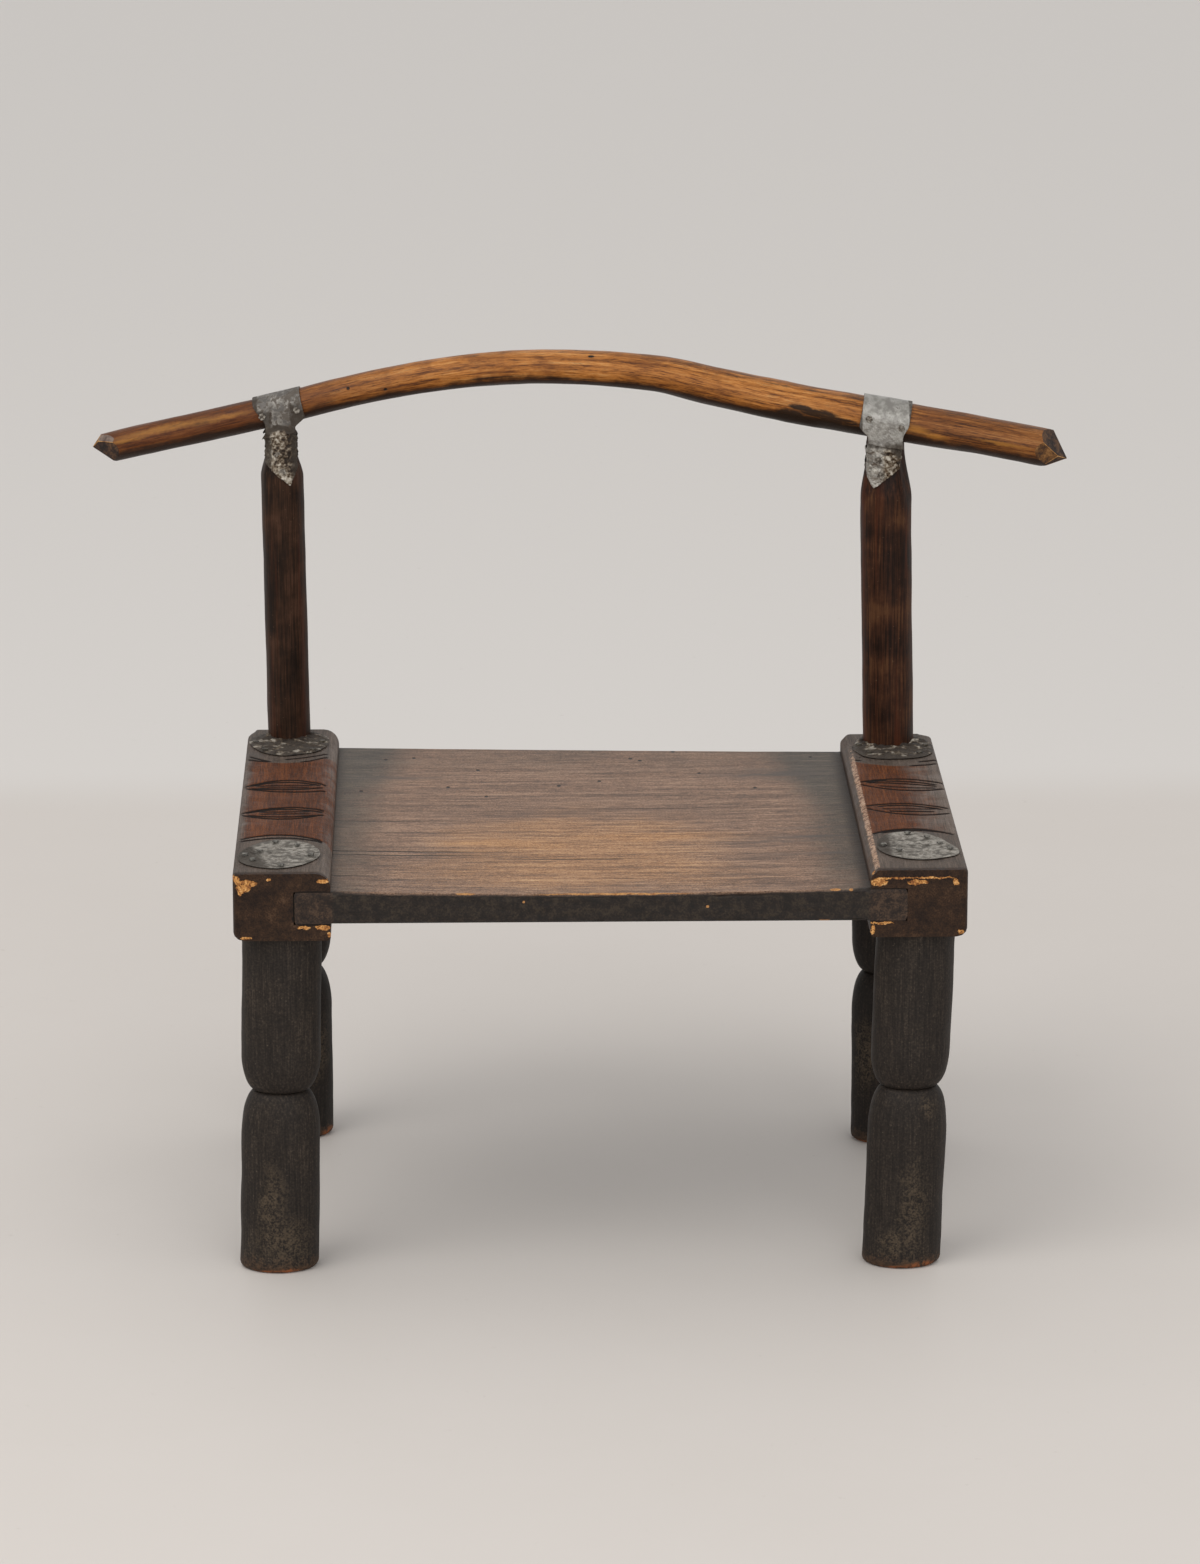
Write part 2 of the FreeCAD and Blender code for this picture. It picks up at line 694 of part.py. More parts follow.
def branch_wood():
    """The branch: round lofts between straight stretches over the posts and straight ends."""
    points = branch_points()
    stretches = []
    runs = {"left": [], "middle": [], "right": []}
    run = "left"
    for number, point in enumerate(points[1:-1], start=1):
        radius = f"Sizes.branch_diameter * {point['girth']} / 2"
        slope = slope_between(points[number - 1], points[number + 1])
        if number == 1:
            slope = slope_between(points[0], point)
        elif number == len(points) - 2:
            slope = slope_between(point, points[-1])
        spots = ["0"]
        if point["seat"]:
            length = "Sizes.strap_width"
            stretches.append(along_branch(point["seat"], f"branch_seat_{number}", radius, length))
            spots = [f"-({length}) / 2", f"{length} / 2"]
        for along in spots:
            ring = add("Part::Circle", f"branch_ring_{number}", Radius=radius)
            ring.setExpression("Placement", on_branch(point, slope, along))
            if along == spots[-1] and point["seat"]:
                run = "middle" if point["seat"] == "left" else "right"
            runs[run].append(ring)
    for side, rings in runs.items():
        loft = add("Part::Loft", f"branch_loft_{side}")
        loft.Sections = rings
        loft.Solid = True
        loft.Ruled = True
        stretches.append(loft)
    chips = []
    for side in SIDES:
        tip, inner = (points[0], points[1]) if side == "left" else (points[-1], points[-2])
        slope = slope_between(inner, tip) if side == "right" else f"({slope_between(tip, inner)} + 180 deg)"
        end = add(
            "Part::Cone",
            f"branch_end_{side}",
            Radius1=f"Sizes.branch_diameter * {inner['girth']} / 2",
            Radius2=f"Sizes.branch_diameter * {tip['girth']} / 2",
            Height=length_between(inner, tip),
        )
        end.setExpression("Placement", on_branch(inner, slope))
        stretches.append(end)
        point = {**tip, "z": f"({tip['z']} + {size('tip_lift', side)})"}
        reach = "Sizes.branch_diameter"
        for number, (turn, tilt) in enumerate(TIP_FACETS[side]):
            chip = add(
                "Part::Box",
                f"{side}_tip_chip_{number}",
                Length=f"{reach} * 2",
                Width=f"{reach} * 2",
                Height=f"{reach} * 2",
            )
            facet = f"placement(vector(0; 0; 0); rotation({turn} deg; {90 - tilt} deg; 0))"
            centre = f"placement(vector(-{reach}; -{reach}; 0); rotation(0; 0; 0))"
            chip.setExpression("Placement", f"{on_branch(point, slope)} * {facet} * {centre}")
            chips.append(chip)
    whole = combine("Part::MultiFuse", "branch_whole", *stretches)
    chopped = combine("Part::MultiFuse", "tip_chips", *chips)
    return combine("Part::Cut", "branch_pointed", whole, chopped)


def post_wood(side):
    """A post with its tenon below and a saddle for the branch above."""
    name = f"{side}_post"
    shaft = post_solid(side, f"{name}_shaft")
    tenon = add(
        "Part::Cylinder",
        f"{name}_tenon",
        Radius="Sizes.post_tenon_diameter / 2",
        Height="Sizes.post_tenon_length + Sizes.patch_thickness",
    )
    x = across(side, size("leg_tenon_inset"))
    place(tenon, x, post_line(side), f"{RAIL_TOP} - Sizes.post_tenon_length")
    whole = combine("Part::MultiFuse", f"{name}_whole", shaft, tenon)
    length = f"{size('post_diameter', side)} * 2"
    saddle = along_branch(side, f"{name}_saddle", seat_radius(side, "Sizes.saddle_gap"), length)
    return combine("Part::Cut", f"{name}_saddled", whole, saddle)


def strap_block(side, label, half_depth, length, high, low):
    """A block across the branch's seat, from below the branch's axis to above it."""
    block = add(
        "Part::Box",
        label,
        Length=length,
        Width=f"{half_depth} * 2",
        Height=f"{low} + {high}",
    )
    corner = f"vector(-({length}) / 2; -{half_depth}; -({low}))"
    block.setExpression("Placement", f"{on_seat(side)} * placement({corner}; rotation(0; 0; 0))")
    return block


def strap_band(side):
    """The part of a strap that is bent over the branch, with its cheeks down to the neck."""
    name = f"{side}_strap"
    inner = seat_radius(side, "Sizes.strap_gap")
    outer = f"({inner} + Sizes.strap_thickness)"
    width = "Sizes.strap_width"
    wide = f"({width} + 2 * Sizes.cut_overrun)"
    cheek = "Sizes.cheek_length"
    below = f"({outer} + {cheek})"
    outside = combine(
        "Part::MultiFuse",
        f"{name}_outside",
        along_branch(side, f"{name}_outer_round", outer, width),
        strap_block(side, f"{name}_outer_cheeks", outer, width, "0", cheek),
    )
    inside = combine(
        "Part::MultiFuse",
        f"{name}_inside",
        along_branch(side, f"{name}_inner_round", inner, wide),
        strap_block(side, f"{name}_inner_cheeks", inner, wide, "0", below),
    )
    return combine("Part::Cut", f"{name}_band", outside, inside)


def strap_tongues(side):
    """The tongues of a strap, that lie on the front and back of the post."""
    name = f"{side}_strap"
    skin = post_solid(side, f"{name}_skin", "Sizes.strap_gap + Sizes.strap_thickness")
    core = post_solid(side, f"{name}_core", "Sizes.strap_gap")
    shell = combine("Part::Cut", f"{name}_shell", skin, core)
    outline = add("PartDesign::Body", f"{name}_tongue_outline")
    reach = size("post_diameter", side)
    lift = f"-({post_line(side)}) + {reach}"
    sketch = sketch_on(outline, "XZ_Plane", f"{name}_tongue_sketch", lift)
    start = f"({seat_radius(side)} - Sizes.saddle_depth)"
    points = []
    for along, down in TONGUE_OUTLINE_SHARES[side]:
        x = f"{seat_x(side)} + {size('tongue_width', side)} / 2 * {along}"
        z = f"{seat_z(side)} - {start} - ({size('tongue_drop', side)} - {start}) * {down}"
        points.append((x, z))
    draw_outline(sketch, points)
    pad(outline, sketch, f"{name}_tongue_pad", f"{reach} * 2", reverse=True)
    flaps = combine("Part::Common", f"{name}_flaps", shell, outline)
    branch = along_branch(
        side,
        f"{name}_tongue_round",
        seat_radius(side, "Sizes.strap_gap"),
        "(Sizes.strap_width + 2 * Sizes.cut_overrun)",
    )
    return combine("Part::Cut", f"{name}_tongues", flaps, branch)


def radius_at(side, drop):
    """Radius of a post at a drop below the branch's middle."""
    neck = size("neck_diameter", side)
    swell = f"({size('post_diameter', side)} - {neck})"
    down = f"(({drop}) - {size('neck_drop', side)})"
    taper = f"({size('taper_drop', side)} - {size('neck_drop', side)})"
    return f"(({neck} + {swell} * max(0; min(1; {down} / {taper}))) / 2)"


def strap_nails(side):
    """Nails of a strap: two through the band, and two through each tongue, front and back."""
    name = f"strap_nails_{side}"
    spot = f"vector({seat_x(side)}; {post_line(side)}; {seat_z(side)})"
    upright = f"placement({spot}; rotation({BRANCH_YAW}; 0; 0))"
    radius = seat_radius(side)
    spots = []
    for along, down in BAND_NAIL_SHARES[side]:
        spots.append((on_seat(side), f"Sizes.strap_width / 2 * {along}", f"{radius} * {down}", radius, 90))
    for along, down in TONGUE_NAIL_SHARES[side]:
        drop = f"{size('tongue_drop', side)} * {down}"
        surface = radius_at(side, f"{drop} + Sizes.nail_head_diameter / 2")
        for roll in (90, -90):
            across_post = f"{size('tongue_width', side)} / 2 * {along}"
            spots.append((upright, across_post, drop, surface, roll))
    width = "Sizes.nail_shank_width"
    heads, shanks = [], []
    for number, (frame, along, drop, surface, roll) in enumerate(spots):
        facing = "-" if roll > 0 else ""
        face = f"{facing}({surface} + Sizes.strap_gap + Sizes.strap_thickness)"
        seat = f"{frame} * placement(vector({along}; {face}; -({drop})); rotation(0; 0; {roll}))"
        head = add(
            "Part::Prism",
            f"{name}_head_{number}",
            Circumradius="Sizes.nail_head_diameter / 2",
            Height="Sizes.nail_head_thickness",
        )
        head.setExpression("Placement", seat)
        shank = add(
            "Part::Box",
            f"{name}_shank_{number}",
            Length=width,
            Width=width,
            Height="Sizes.nail_length",
        )
        sunk = f"vector(-{width} / 2; -{width} / 2; -Sizes.nail_length)"
        shank.setExpression("Placement", f"{seat} * placement({sunk}; rotation(0; 0; 0))")
        heads.append(head)
        shanks.append(shank)
    holes = combine("Part::Compound", f"{name}_holes", *shanks)
    combine("Part::MultiFuse", name, *shanks, *heads)
    return holes


def seat_frame():
    """Rails with their patches and tacks, and the board between them."""
    seat_board()
    for side in SIDES:
        x = across(side, size("patch_inset"))
        cap_y = f"({FRONT} + {size('cap_setback', side)})"
        collar_y = f"({rail_end(side)} - {size('collar_setback', side)})"
        cap_holes = tacks("cap", side, x, cap_y)
        collar_holes = tacks("collar", side, x, collar_y)
        tack_holes = combine("Part::Compound", f"tack_holes_{side}", cap_holes, collar_holes)
        combine("Part::Cut", f"side_rail_{side}", rail_blank(side), tack_holes)
        patch(f"leg_cap_{side}", "cap", x, cap_y, cap_holes)
        post_hole = add(
            "Part::Cylinder",
            f"collar_hole_{side}",
            Radius="Sizes.post_tenon_diameter / 2 + Sizes.tenon_gap",
            Height="Sizes.patch_thickness",
        )
        place(post_hole, across(side, size("leg_tenon_inset")), post_line(side), RAIL_TOP)
        collar_cuts = combine("Part::Compound", f"collar_cuts_{side}", collar_holes, post_hole)
        patch(f"post_collar_{side}", "collar", x, collar_y, collar_cuts)


def back():
    """The branch on its posts, with the straps and nails that hold it there."""
    wood = branch_wood()
    nail_holes = {side: strap_nails(side) for side in SIDES}
    both = combine("Part::Compound", "branch_nail_holes", *nail_holes.values())
    combine("Part::Cut", "back_rail", wood, both)
    for side, holes in nail_holes.items():
        combine("Part::Cut", f"back_post_{side}", post_wood(side), holes)
        metal = combine("Part::MultiFuse", f"{side}_strap_metal", strap_band(side), strap_tongues(side))
        combine("Part::Cut", f"strap_{side}", metal, holes)


def check(items):
    """Stop if any object of the document failed, or a piece has no sound solid."""
    failed = [o.Label for o in doc.Objects if {"Invalid", "Error"} & set(o.State)]
    unsound = [o.Label for o in items if not (o.Shape.isValid() and o.Shape.Solids)]
    if failed or unsound:
        raise RuntimeError(f"failed: {failed}, unsound: {unsound}")


seat_frame()
for leg_side in SIDES:
    for leg_end in ENDS:
        leg(leg_side, leg_end)
back()
doc.recompute()

PAIRED = (
    "side_rail",
    "front_leg",
    "rear_leg",
    "leg_cap",
    "cap_tacks",
    "post_collar",
    "collar_tacks",
    "back_post",
    "strap",
    "strap_nails",
)
labels = ["seat_board", "back_rail"] + [f"{name}_{side}" for name in PAIRED for side in SIDES]
pieces = [doc.getObjectsByLabel(label)[0] for label in labels]
check(pieces)
os.makedirs("parts", exist_ok=True)
for piece in pieces:
    piece.Shape.exportStep(f"parts/{piece.Label}.step")
    box = piece.Shape.BoundBox
    print(
        f"{piece.Label}: {len(piece.Shape.Solids)} solid(s), {piece.Shape.Volume / 1000:.1f} cm3, "
        f"X {box.XMin:.1f} to {box.XMax:.1f}, Y {box.YMin:.1f} to {box.YMax:.1f}, "
        f"Z {box.ZMin:.1f} to {box.ZMax:.1f}"
    )
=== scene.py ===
import math

import bmesh
import bpy
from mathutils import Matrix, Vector, noise


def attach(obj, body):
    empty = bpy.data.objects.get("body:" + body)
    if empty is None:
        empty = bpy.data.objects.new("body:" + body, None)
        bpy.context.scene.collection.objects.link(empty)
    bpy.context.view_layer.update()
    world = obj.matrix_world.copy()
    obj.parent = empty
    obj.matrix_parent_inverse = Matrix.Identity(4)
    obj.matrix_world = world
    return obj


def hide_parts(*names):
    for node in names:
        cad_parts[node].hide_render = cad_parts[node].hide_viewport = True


# Low birthing chair of dark carved wood: a dished seat board between two carved side rails,
# four blackened legs, two posts and a polished bent branch strapped on with sheet metal.
# Lengths below are millimetres in the frame of the CAD model, made metres as a piece is finished.

MM = 0.001
RAIL_TOP = 254.8
RAIL_BOTTOM = 213.2
BOARD_TOP = 243.3
BOARD_BOTTOM = 223.3
RAIL_WIDTH = 58.4
SLOT_DEPTH = 22.0
CHAMFER_STRIP = 6.2
FRONT = -169.0
SIDES = {"left": -1, "right": 1}
OUTER_FACE = {"left": -213.9, "right": 226.1}
REAR = {"left": 169.0, "right": 149.0}

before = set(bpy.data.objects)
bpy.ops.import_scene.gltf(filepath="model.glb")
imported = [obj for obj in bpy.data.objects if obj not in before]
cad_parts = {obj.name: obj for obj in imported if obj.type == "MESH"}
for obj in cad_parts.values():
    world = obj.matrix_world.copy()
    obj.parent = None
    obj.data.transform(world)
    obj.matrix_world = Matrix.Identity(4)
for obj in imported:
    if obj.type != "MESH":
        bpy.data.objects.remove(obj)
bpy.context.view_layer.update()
scene = bpy.context.scene


def linear(code, alpha=1.0):
    """The linear colour of an sRGB hex code."""
    parts = [int(code[n : n + 2], 16) / 255 for n in (1, 3, 5)]
    return (*(p / 12.92 if p <= 0.04045 else ((p + 0.055) / 1.055) ** 2.4 for p in parts), alpha)


def join(tree, item, inputs):
    """Set a node's sockets, each to a value or to what feeds it."""
    for name, value in inputs.items():
        by_name = (s for s in item.inputs if s.enabled and s.name == name)
        socket = item.inputs[name] if isinstance(name, int) else next(by_name)
        if isinstance(value, bpy.types.Node):
            value = next(o for o in value.outputs if o.enabled)
        if isinstance(value, bpy.types.NodeSocket):
            tree.links.new(value, socket)
        else:
            socket.default_value = linear(value) if isinstance(value, str) else value


def add(tree, kind, settings=None, inputs=None):
    """Add a shader node with its settings, and its sockets, each a value or what feeds it."""
    item = tree.nodes.new("ShaderNode" + kind)
    for name, value in (settings or {}).items():
        if name != "stops":
            setattr(item, name, value)
            continue
        marks = item.color_ramp.elements
        while len(marks) < len(value[0]):
            marks.new(0.5)
        for mark, place, shade in zip(marks, *value):
            mark.position = place
            mark.color = linear(shade)
    join(tree, item, inputs or {})
    return item


# Settings that many nodes share.
PRODUCT = {"operation": "MULTIPLY", "use_clamp": True}
HIGHER = {"operation": "MAXIMUM"}
COVER = {"data_type": "RGBA"}
FADE = {"interpolation_type": "SMOOTHSTEP"}


def new_finish(name, attribute=None):
    """An empty material: it, its tree, its shader, and the place that its patterns follow, which is
    the one in the piece or what an attribute of the mesh holds."""
    finish = bpy.data.materials.new(name)
    finish.use_nodes = True
    tree = finish.node_tree
    if attribute:
        place = add(tree, "Attribute", {"attribute_name": attribute}).outputs["Vector"]
    else:
        place = add(tree, "TexCoord").outputs["Object"]
    return finish, tree, tree.nodes["Principled BSDF"], place


def fibres(tree, where, run, width, detail=5.0, roughness=0.6, drawn_out=28):
    """Noise drawn out along X, Y or Z, its streaks about width millimetres across."""
    stretch = [1.0, 1.0, 1.0]
    stretch["XYZ".index(run)] = 1 / drawn_out
    drawn = add(tree, "Mapping", {"vector_type": "POINT"}, {"Vector": where, "Scale": stretch})
    sockets = {"Vector": drawn, "Scale": 1 / (width * MM), "Detail": detail, "Roughness": roughness}
    return add(tree, "TexNoise", {}, sockets)


def clouds(tree, where, *sizes, roughness=0.62):
    """Round-grained noises whose patches are about the given sizes in millimetres."""
    sockets = {"Vector": where, "Detail": 4.0, "Roughness": roughness}
    return [add(tree, "TexNoise", {}, {**sockets, "Scale": 1 / (size * MM)}) for size in sizes]


def total(tree, *parts):
    """Sum of patterns, each given with the weight that it counts by."""
    result = 0.0
    for pattern, weight in parts:
        result = add(tree, "Math", {"operation": "MULTIPLY_ADD"}, {0: pattern, 1: weight, 2: result})
    return result


def mask_of(tree, low, high, most, *parts):
    """0 where a sum of weighted patterns is low, rising smoothly to most where it is high."""
    return add(tree, "MapRange", FADE, {"Value": total(tree, *parts), 1: low, 2: high, 4: most})


def layered(tree, colour, *layers):
    """A colour under layers of others, each given as its mask and its colour."""
    for mask, shade in layers:
        colour = add(tree, "Mix", COVER, {"Factor": mask, "A": colour, "B": shade})
    return colour


def shares(tree, name):
    """The three shares that a vector attribute of the mesh holds."""
    kept = add(tree, "Attribute", {"attribute_name": name}).outputs["Vector"]
    return add(tree, "SeparateXYZ", {}, {0: kept}).outputs


def near_spots(tree, where, spots, ragged, pitch, soft, shown=1.0):
    """Shown inside ragged ellipsoids given as centre and reach in millimetres, 0 outside."""
    (jag,) = clouds(tree, where, pitch, roughness=0.65)
    half = (0.5, 0.5, 0.5)
    centred = add(tree, "VectorMath", {"operation": "SUBTRACT"}, {0: jag.outputs["Color"], 1: half})
    shift = add(tree, "VectorMath", {"operation": "SCALE"}, {0: centred, "Scale": ragged * 2 * MM})
    moved = add(tree, "VectorMath", {"operation": "ADD"}, {0: where, 1: shift})
    nearest = None
    for centre, reach in spots:
        gap = add(tree, "VectorMath", {"operation": "SUBTRACT"}, {0: moved, 1: [c * MM for c in centre]})
        share = add(tree, "VectorMath", {"operation": "DIVIDE"}, {0: gap, 1: [r * MM for r in reach]})
        away = add(tree, "VectorMath", {"operation": "LENGTH"}, {0: share}).outputs["Value"]
        if nearest is not None:
            away = add(tree, "Math", {"operation": "MINIMUM"}, {0: nearest, 1: away})
        nearest = away
    inside = add(tree, "MapRange", {}, {"Value": nearest, 1: 1 + soft, 2: 1 - soft})
    return add(tree, "Math", PRODUCT, {0: inside, 1: shown})


def add_relief(tree, shader, *layers):
    """Bump from a few patterns, each with its height in millimetres, joined to a shader."""
    height = total(tree, *((pattern, rise * MM) for pattern, rise in layers))
    relief = add(tree, "Bump", {}, {"Height": height, "Distance": 1.0, "Strength": 1.0})
    join(tree, shader, {"Normal": relief})


# Finishes. Marks on the branch: place along it, to its front and up from its middle, and reach.
KNOTS = (
    ((140, 11, 0.4), (8, 8, 2.0)), ((151, 11, -1.6), (13, 8, 3.0)), ((164, 11, -3.8), (14, 8, 2.4)),
    ((134, 10, -5.0), (10, 8, 3.6)), ((150, 8, -9.4), (42, 9, 6.2)),
)  # fmt: skip
# Golden patches painted on the branch: painted highlights where its satin shine falls.
PAINTED_HIGHLIGHTS = (
    ((213, 12, -1.0), (7, 8, 2.2)), ((225, 12, -3.2), (7, 8, 1.4)), ((268, 12, -0.5), (14, 8, 1.0)),
    ((-262, 10, 5.4), (30, 8, 1.8)), ((-228, 10, 4.4), (18, 8, 1.4)), ((-286, 11, 3.4), (12, 8, 1.4)),
)  # fmt: skip
PINHOLES = (
    ((-145.5, 9, 3.8), (1.0, 4, 0.9)), ((-123, 10, -1.7), (1.1, 4, 0.9)), ((7, 6, 8.6), (2.0, 4, 0.6)),
)


def polished_branch():
    """Debarked branch rubbed by hands: satin honey brown in the middle, browner where it sticks out,
    with fine dark fibres, black streaks, painted golden highlights and painted shade underneath."""
    finish, tree, shader, straight = new_finish("hand_polished_branch", "straight")
    along, _, up = add(tree, "SeparateXYZ", {}, {0: straight}).outputs
    fine = fibres(tree, straight, "X", 0.7, 5.0, 0.75, 14)
    broad = fibres(tree, straight, "X", 3.2, 5.0, 0.7)
    dashes = fibres(tree, straight, "X", 1.4, 6.0, 0.8, 11)
    (cloud,) = clouds(tree, straight, 26.0)
    tone = total(tree, (fine, 0.5), (broad, 0.5))
    places = (0.42, 0.47, 0.51, 0.55, 0.61)
    honey, brown = (
        add(tree, "ValToRGB", {"stops": (places, shades)}, {"Fac": tone})
        for shades in (
            ("#512a0f", "#84501f", "#a5672c", "#b77a3c", "#c79359"),
            ("#220e04", "#412009", "#5a3010", "#704018", "#8a582a"),
        )
    )
    far_left = mask_of(tree, -0.08, -0.22, 1.0, (along, 1.0))
    far_right = mask_of(tree, 0.13, 0.26, 0.7, (along, 1.0))
    far = add(tree, "Math", HIGHER, {0: far_left, 1: far_right})
    deep = add(tree, "Math", PRODUCT, {0: far_left, 1: 0.25})
    # How far below its middle a spot lies, which sets the painted shade on the underside.
    low = add(tree, "MapRange", {}, {"Value": up, 1: -0.0015, 2: -0.010})
    high = add(tree, "MapRange", {}, {"Value": up, 1: 0.004, 2: 0.0108})
    dashed = mask_of(tree, 0.3, 0.44, 0.95, (dashes, 1.0))
    holes = near_spots(tree, straight, PINHOLES, 0.4, 2.0, 0.2)
    layers = (
        (far, brown),
        (deep, "#6a3304"),
        (mask_of(tree, 0.5, 0.66, 0.5, (cloud, 1.0)), "#6b3d1b"),
        # Painted highlights in gold.
        (near_spots(tree, straight, PAINTED_HIGHLIGHTS, 2.0, 6.0, 0.5, 0.45), "#b67c30"),
        # Painted shade: darker along the underside, broken up by the grain and clouds, and more at the left
        # end.
        (mask_of(tree, 1.42, 1.9, 1.0, (low, 1.0), (broad, 1.5), (cloud, 0.9), (far_left, 0.24)), "#27160b"),
        (mask_of(tree, 0.8, 0.97, 0.85, (high, 0.36), (dashes, 1.0)), "#412b19"),
        (mask_of(tree, 0.58, 0.67, 0.8, (dashes, 1.0)), "#3a2212"),
        (mask_of(tree, 0.55, 0.66, 0.6, (fine, 1.0)), "#44260f"),
        (near_spots(tree, straight, KNOTS, 1.6, 8.0, 0.2, dashed), "#1f1309"),
        (holes, "#1c120a"),
    )
    wood = layered(tree, honey, *layers)
    add_relief(tree, shader, (fine, 0.10), (dashes, 0.2), (holes, -0.5))
    uneven = total(tree, (cloud, 0.5), (fine, 0.5))
    gloss = add(tree, "MapRange", {}, {"Value": uneven, 1: 0.36, 2: 0.64, 3: 0.34, 4: 0.52})
    join(tree, shader, {"Base Color": wood, "Roughness": gloss, "IOR": 1.48, "Specular IOR Level": 0.26})
    return finish


def chopped_end(name, shades):
    """End of the branch as an adze left it: dull cut wood, darkened unevenly by hands and smoke."""
    finish, tree, shader, place = new_finish(name)
    cloud, grit = clouds(tree, place, 5.0, 1.3)
    tone = total(tree, (cloud, 0.65), (grit, 0.35))
    wood = add(tree, "ValToRGB", {"stops": ((0.4, 0.5, 0.6), shades)}, {"Fac": tone})
    add_relief(tree, shader, (grit, 0.25), (cloud, 0.4))
    join(tree, shader, {"Base Color": wood, "Roughness": 0.62, "Specular IOR Level": 0.3})
    return finish


def dark_post(name, shades, red):
    """Shaved hardwood pole, smoked and oiled to a brown black, smooth with a low satin shine."""
    finish, tree, shader, place = new_finish(name)
    height = add(tree, "SeparateXYZ", {}, {0: place}).outputs["Z"]
    fine = fibres(tree, place, "Z", 1.2, 6.0, 0.65)
    broad = fibres(tree, place, "Z", 7.0, 3.0)
    cloud, specks = clouds(tree, place, 30.0, 2.0)
    tone = total(tree, (fine, 0.5), (cloud, 0.5))
    wood = add(tree, "ValToRGB", {"stops": ((0.41, 0.47, 0.53, 0.60), shades)}, {"Fac": tone})
    foot = add(tree, "MapRange", {}, {"Value": height, 1: 0.330, 2: 0.262})
    warm = mask_of(tree, 0.57, 0.72, red, (foot, 0.12), (broad, 1.0))
    nicks = mask_of(tree, 0.66, 0.74, 0.5, (specks, 1.0))
    wood = layered(tree, wood, (warm, "#4d2413"), (nicks, "#6d5642"))
    add_relief(tree, shader, (fine, 0.07), (cloud, 0.2))
    gloss = add(tree, "MapRange", {}, {"Value": cloud, 1: 0.3, 2: 0.7, 3: 0.42, 4: 0.58})
    join(tree, shader, {"Base Color": wood, "Roughness": gloss, "Specular IOR Level": 0.12})
    return finish


# Dark seams where the board shows in the fronts of the rails.
SLOT_SEAMS = {
    "left": (
        ((-167, -169, 243.5), (11, 4, 0.55)), ((-166, -169, 223.1), (11, 4, 0.5)),
        ((-178, -169, 227), (0.8, 4, 1.2)), ((-177.5, -169, 234), (0.4, 4, 9.5)),
    ),
    "right": (((181, -169, 243.4), (9, 4, 0.35)), ((172, -169, 223.2), (4, 4, 0.3))),
}  # fmt: skip


def carved_rail(side, chips):
    """Carved hardwood bar: brown and speckled where it is handled, grey-brown around, black-brown
    on its sides, its inner edge rubbed light and its corners chipped to raw orange wood."""
    finish, tree, shader, place = new_finish(f"handled_rail_wood_{side}")
    handled, cut, lip = shares(tree, "wear")
    rubbed, on_top, outside = shares(tree, "rub")
    fine = fibres(tree, place, "Y", 0.9, 6.0, 0.7)
    broad = fibres(tree, place, "Y", 7.0, 3.0)
    cloud, patch, specks = clouds(tree, place, 13.0, 3.0, 0.9)
    tone = total(tree, (fine, 0.35), (specks, 0.5), (broad, 0.15))
    blotches = total(tree, (patch, 0.2), (specks, 0.4), (cloud, 0.4))
    splinters = total(tree, (patch, 0.6), (specks, 0.4))
    black, grey, smoked, brown, light, raw = (
        add(tree, "ValToRGB", {"stops": (places, shades)}, {"Fac": pattern})
        for pattern, places, shades in (
            (blotches, (0.4, 0.48, 0.55, 0.63), ("#190e09", "#291b12", "#382619", "#523d2d")),
            (tone, (0.41, 0.48, 0.54, 0.61), ("#3b322c", "#5a4e46", "#6c5f56", "#837569")),
            (tone, (0.42, 0.5, 0.58), ("#2c2520", "#3f362f", "#574a40")),
            (tone, (0.42, 0.47, 0.52, 0.58), ("#2a1205", "#41200a", "#582d11", "#78441f")),
            (patch, (0.4, 0.5, 0.6), ("#846551", "#a08069", "#b89a82")),
            (splinters, (0.41, 0.48, 0.54, 0.61), ("#794b29", "#a8723d", "#c38b4e", "#daab71")),
        )
    )
    smoky = add(tree, "MapRange", {}, {"Value": cloud, 1: 0.34, 2: 0.62, 3: 0.85, 4: 0.35})
    soot = add(tree, "Math", PRODUCT, {0: outside, 1: smoky})
    splintered = mask_of(tree, 0.3, 0.43, 1.0, (specks, 1.0))
    chipped = near_spots(tree, place, chips, 2.0, 4.0, 0.08, splintered)
    layers = (
        (on_top, layered(tree, grey, (soot, smoked))),
        (mask_of(tree, 1.15, 1.75, 1.0, (handled, 1.0), (specks, 0.9), (cloud, 0.9)), brown),
        (mask_of(tree, 1.85, 2.3, 1.0, (rubbed, 1.0), (specks, 1.6), (patch, 0.9)), light),
        (mask_of(tree, 1.0, 1.6, 0.6, (lip, 1.0), (specks, 0.9)), "#8a5a38"),
        (mask_of(tree, 0.02, 0.2, 1.0, (cut, 1.0)), "#140b07"),
        (mask_of(tree, 0.6, 0.68, 0.7, (specks, 1.0)), "#1f1611"),
        (near_spots(tree, place, SLOT_SEAMS[side], 0.5, 4.0, 0.3), "#120c08"),
        (chipped, raw),
    )
    wood = layered(tree, black, *layers)
    add_relief(tree, shader, (fine, 0.12), (patch, 0.2), (specks, 0.1), (chipped, -0.6))
    uneven = total(tree, (cloud, 0.6), (specks, 0.4))
    gloss = add(tree, "MapRange", {}, {"Value": uneven, 1: 0.36, 2: 0.64, 3: 0.46, 4: 0.7})
    join(tree, shader, {"Base Color": wood, "Roughness": gloss, "Specular IOR Level": 0.18})
    return finish


